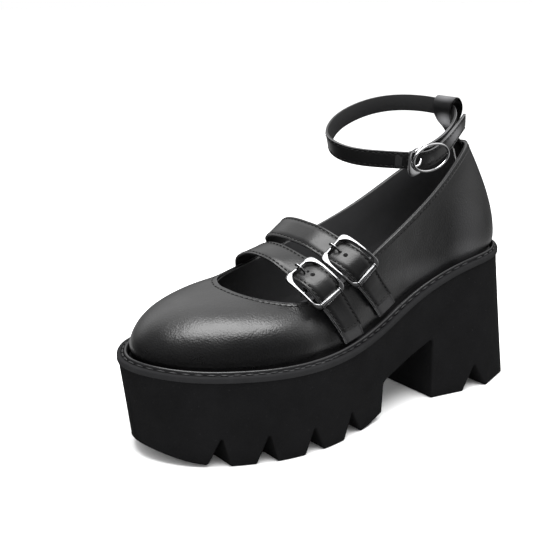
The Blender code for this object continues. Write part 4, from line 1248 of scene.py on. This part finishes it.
def make_ankle_strap():
    strap = Strap("ankle_strap", 4)
    body = strap_body("ankle_strap_body", strap, ANKLE_THICK, ANKLE_INSET)
    hand_over(body, nodes=["ankle_strap"], smooth=40.0)
    strap_stitches("ankle_stitches", strap, ANKLE_INSET)


def ring_axes(node):
    """Middle of a flat ring of wire, with its long and short ways and the way out of the shoe."""
    points = coordinates(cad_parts[node].data)
    middle = points.mean(0)
    _, _, ways = np.linalg.svd(points - middle, full_matrices=False)
    along = ways[0] * np.sign(ways[0][1])
    out = ways[2] * np.sign(ways[2] @ (middle * [1.0, 0.0, 0.0]))
    return middle, along, np.cross(out, along), out


def make_ankle_hardware():
    """An oval ring over a rounded frame, and the short curled prong at the oval's front."""
    middle, along, width, out = ring_axes("ankle_buckle")
    turns = 2.0 * math.pi * np.arange(48) / 48
    long_half, short_half, wire = OVAL
    reach = np.outer(np.cos(turns), along) * long_half + np.outer(np.sin(turns), width) * short_half
    ring = tube("ankle_oval", middle + reach, wire, closed=True, up=out)
    hand_over(ring, [BRIGHT_NICKEL], ["ankle_buckle"], smooth=60.0)
    axes = Matrix(np.column_stack([along, width, out])).to_4x4() @ Matrix.Scale(MM, 4)
    axes = Matrix.Translation(middle) @ axes
    plate = loft(
        "ankle_frame", [bar_section(*pair, 0.7, 0.5) - ANKLE_FRAME_BACK for pair in ANKLE_FRAME]
    )
    select(rod(*ANKLE_RAIL), plate)
    bpy.ops.object.join()
    plate.data.transform(axes)
    hand_over(plate, [BRIGHT_NICKEL], ["ankle_plate"], smooth=50.0)
    radii, up = np.linspace(0.75, 0.55, 18), (0.0, 0.0, 1.0)
    make_prong("ankle_buckle_prong", ANKLE_PRONG, radii, axes, up, BRIGHT_NICKEL, "ankle_prong")


def make_heel_tab():
    """The pull tab at the back, whose loop carries the ankle strap."""
    tab = take("heel_tab", "heel_tab_loop")
    modifier(tab, "BEVEL", width=0.3 * MM, segments=2, angle_limit=math.radians(50))
    subdivide(tab, 2)
    for finish in (STRAP_LEATHER, RAW_EDGE):
        tab.data.materials.append(finish)
    paint(tab, 1, lambda f: f.center.x < -6.4 * MM and 128 * MM < f.center.z < 140 * MM)
    for corner in tab.data.vertices:
        share = min(max((5 * MM - corner.co.x) / (15 * MM), 0.0), 1.0)
        near = math.exp(-(((corner.co.z - LOOP_HEIGHT) / LOOP_REACH) ** 2))
        corner.co.x += LOOP_SQUEEZE * share * near
    hand_over(tab, nodes=["heel_tab"], smooth=60.0)


def make_insole():
    """The padded footbed inside the shoe."""
    insole = take("insole", "footbed")
    modifier(insole, "BEVEL", width=0.8 * MM, segments=2, angle_limit=math.radians(50))
    subdivide(insole, 1)
    hand_over(insole, [LINING], ["insole"], smooth=60.0)


# Light, floor and camera --------------------------------------------------------------------

# The soft box overhead: place, size, power and turn.
TOP_BOX_PLACE = (0.19, -0.13, 1.08)
TOP_BOX_SIZE = (1.10, 0.74)
TOP_BOX_POWER = 21.2
TOP_BOX_TURN = math.radians(30.0)
# How bright the studio looks in the shoe's gloss: the share of the way to its brightest wall
# (-1 faces it away, 1 is its middle) and brightness; then height (-1 to 1) and a factor.
WALL_WAY = (-0.5, 0.866, 0.0)
WALLS = [(-1.0, 0.08), (-0.3, 0.1), (0.0, 0.2), (0.16, 0.42), (0.32, 0.72), (0.6, 0.75), (1.0, 0.35)]
HEIGHTS = [(-1.0, 0.15), (-0.42, 0.3), (-0.34, 0.75), (-0.28, 1.25), (-0.2, 0.85), (-0.13, 0.5)]
HEIGHTS += [(-0.05, 0.35), (0.04, 0.38), (0.13, 0.6), (0.33, 1.4), (0.5, 2.1), (0.8, 1.85)]
HEIGHTS += [(0.92, 1.2), (1.0, 1.2)]
FILL = 1.12  # even light from all round, for the surfaces' own colours
LENS = 68.67
CAMERA_PLACE = (0.42135, -0.35406, 0.24182)
CAMERA_TURNS = [(53.586, "Z"), (73.811, "X"), (0.124, "Z")]  # degrees, each in the last one's frame


def make_top_box():
    lamp = bpy.data.lights.new("top_box", "AREA")
    lamp.shape = "RECTANGLE"
    lamp.size, lamp.size_y = TOP_BOX_SIZE
    lamp.energy = TOP_BOX_POWER
    light = bpy.data.objects.new("top_box", lamp)
    light.location = TOP_BOX_PLACE
    light.rotation_euler = (0.0, 0.0, TOP_BOX_TURN)
    bpy.context.scene.collection.objects.link(light)


def make_world():
    """White behind the shoe, even fill light, and bright walls on one side for the gloss."""
    world = bpy.data.worlds.new("studio")
    bpy.context.scene.world = world
    world.use_nodes = True
    tree = world.node_tree
    place = add_node(tree, "ShaderNodeTexCoord").outputs["Generated"]
    brightness = []
    for way, table in ((WALL_WAY, WALLS), ((0.0, 0.0, 1.0), HEIGHTS)):
        facing = add_node(tree, "ShaderNodeVectorMath", {0: place, 1: way}, operation="DOT_PRODUCT")
        values = {"Value": facing.outputs["Value"], "From Min": -1.0}
        share = add_node(tree, "ShaderNodeMapRange", values).outputs["Result"]
        ramp = add_node(tree, "ShaderNodeValToRGB", {"Fac": share})
        stops = ramp.color_ramp.elements
        for index, (at, bright) in enumerate(table):
            stop = stops[index] if index < 2 else stops.new((at + 1.0) / 2.0)
            stop.position = (at + 1.0) / 2.0
            stop.color = grey(bright, bright)
        brightness.append(ramp.outputs["Color"])
    values = {"Color": brightness[0], "Strength": brightness[1]}
    shade = add_node(tree, "ShaderNodeBackground", values).outputs["Background"]
    ray = add_node(tree, "ShaderNodeLightPath")
    for kind, bright in (("Is Diffuse Ray", FILL), ("Is Camera Ray", 1.0)):
        even = add_node(tree, "ShaderNodeBackground", {"Color": grey(bright, bright)})
        values = {"Fac": ray.outputs[kind], 1: shade, 2: even.outputs["Background"]}
        shade = add_node(tree, "ShaderNodeMixShader", values).outputs["Shader"]
    tree.links.new(shade, tree.nodes["World Output"].inputs["Surface"])


def make_floor():
    bpy.ops.mesh.primitive_plane_add(size=12.0)
    floor = bpy.context.object
    floor.name = floor.data.name = "floor"
    floor.data.materials.append(plain("paper", grey(0.95, 0.95), 0.9, 0.0))
    floor.visible_glossy = False


def make_camera():
    lens = bpy.data.cameras.new("camera")
    lens.lens = LENS
    lens.sensor_width = 36.0
    lens.clip_start = 0.01
    camera = bpy.data.objects.new("camera", lens)
    camera.location = CAMERA_PLACE
    turn = Matrix()
    for degrees, axis in CAMERA_TURNS:
        turn = turn @ Matrix.Rotation(math.radians(degrees), 4, axis)
    camera.rotation_euler = turn.to_euler()
    bpy.context.scene.collection.objects.link(camera)
    bpy.context.scene.camera = camera


def make_studio():
    scene = bpy.context.scene
    scene.view_settings.view_transform = "Standard"
    scene.view_settings.look = "None"
    make_world()
    make_floor()
    make_top_box()
    make_camera()


# Build --------------------------------------------------------------------------------------

SOLE_TREE = tree_of(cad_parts["outsole"])
UPPER_TREE = tree_of(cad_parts["upper"])
WELT_TREE = tree_of(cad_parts["welt"])

make_outsole()
make_welt()
make_insole()
make_upper()
make_instep_straps()
make_ankle_strap()
make_ankle_hardware()
make_heel_tab()
make_studio()
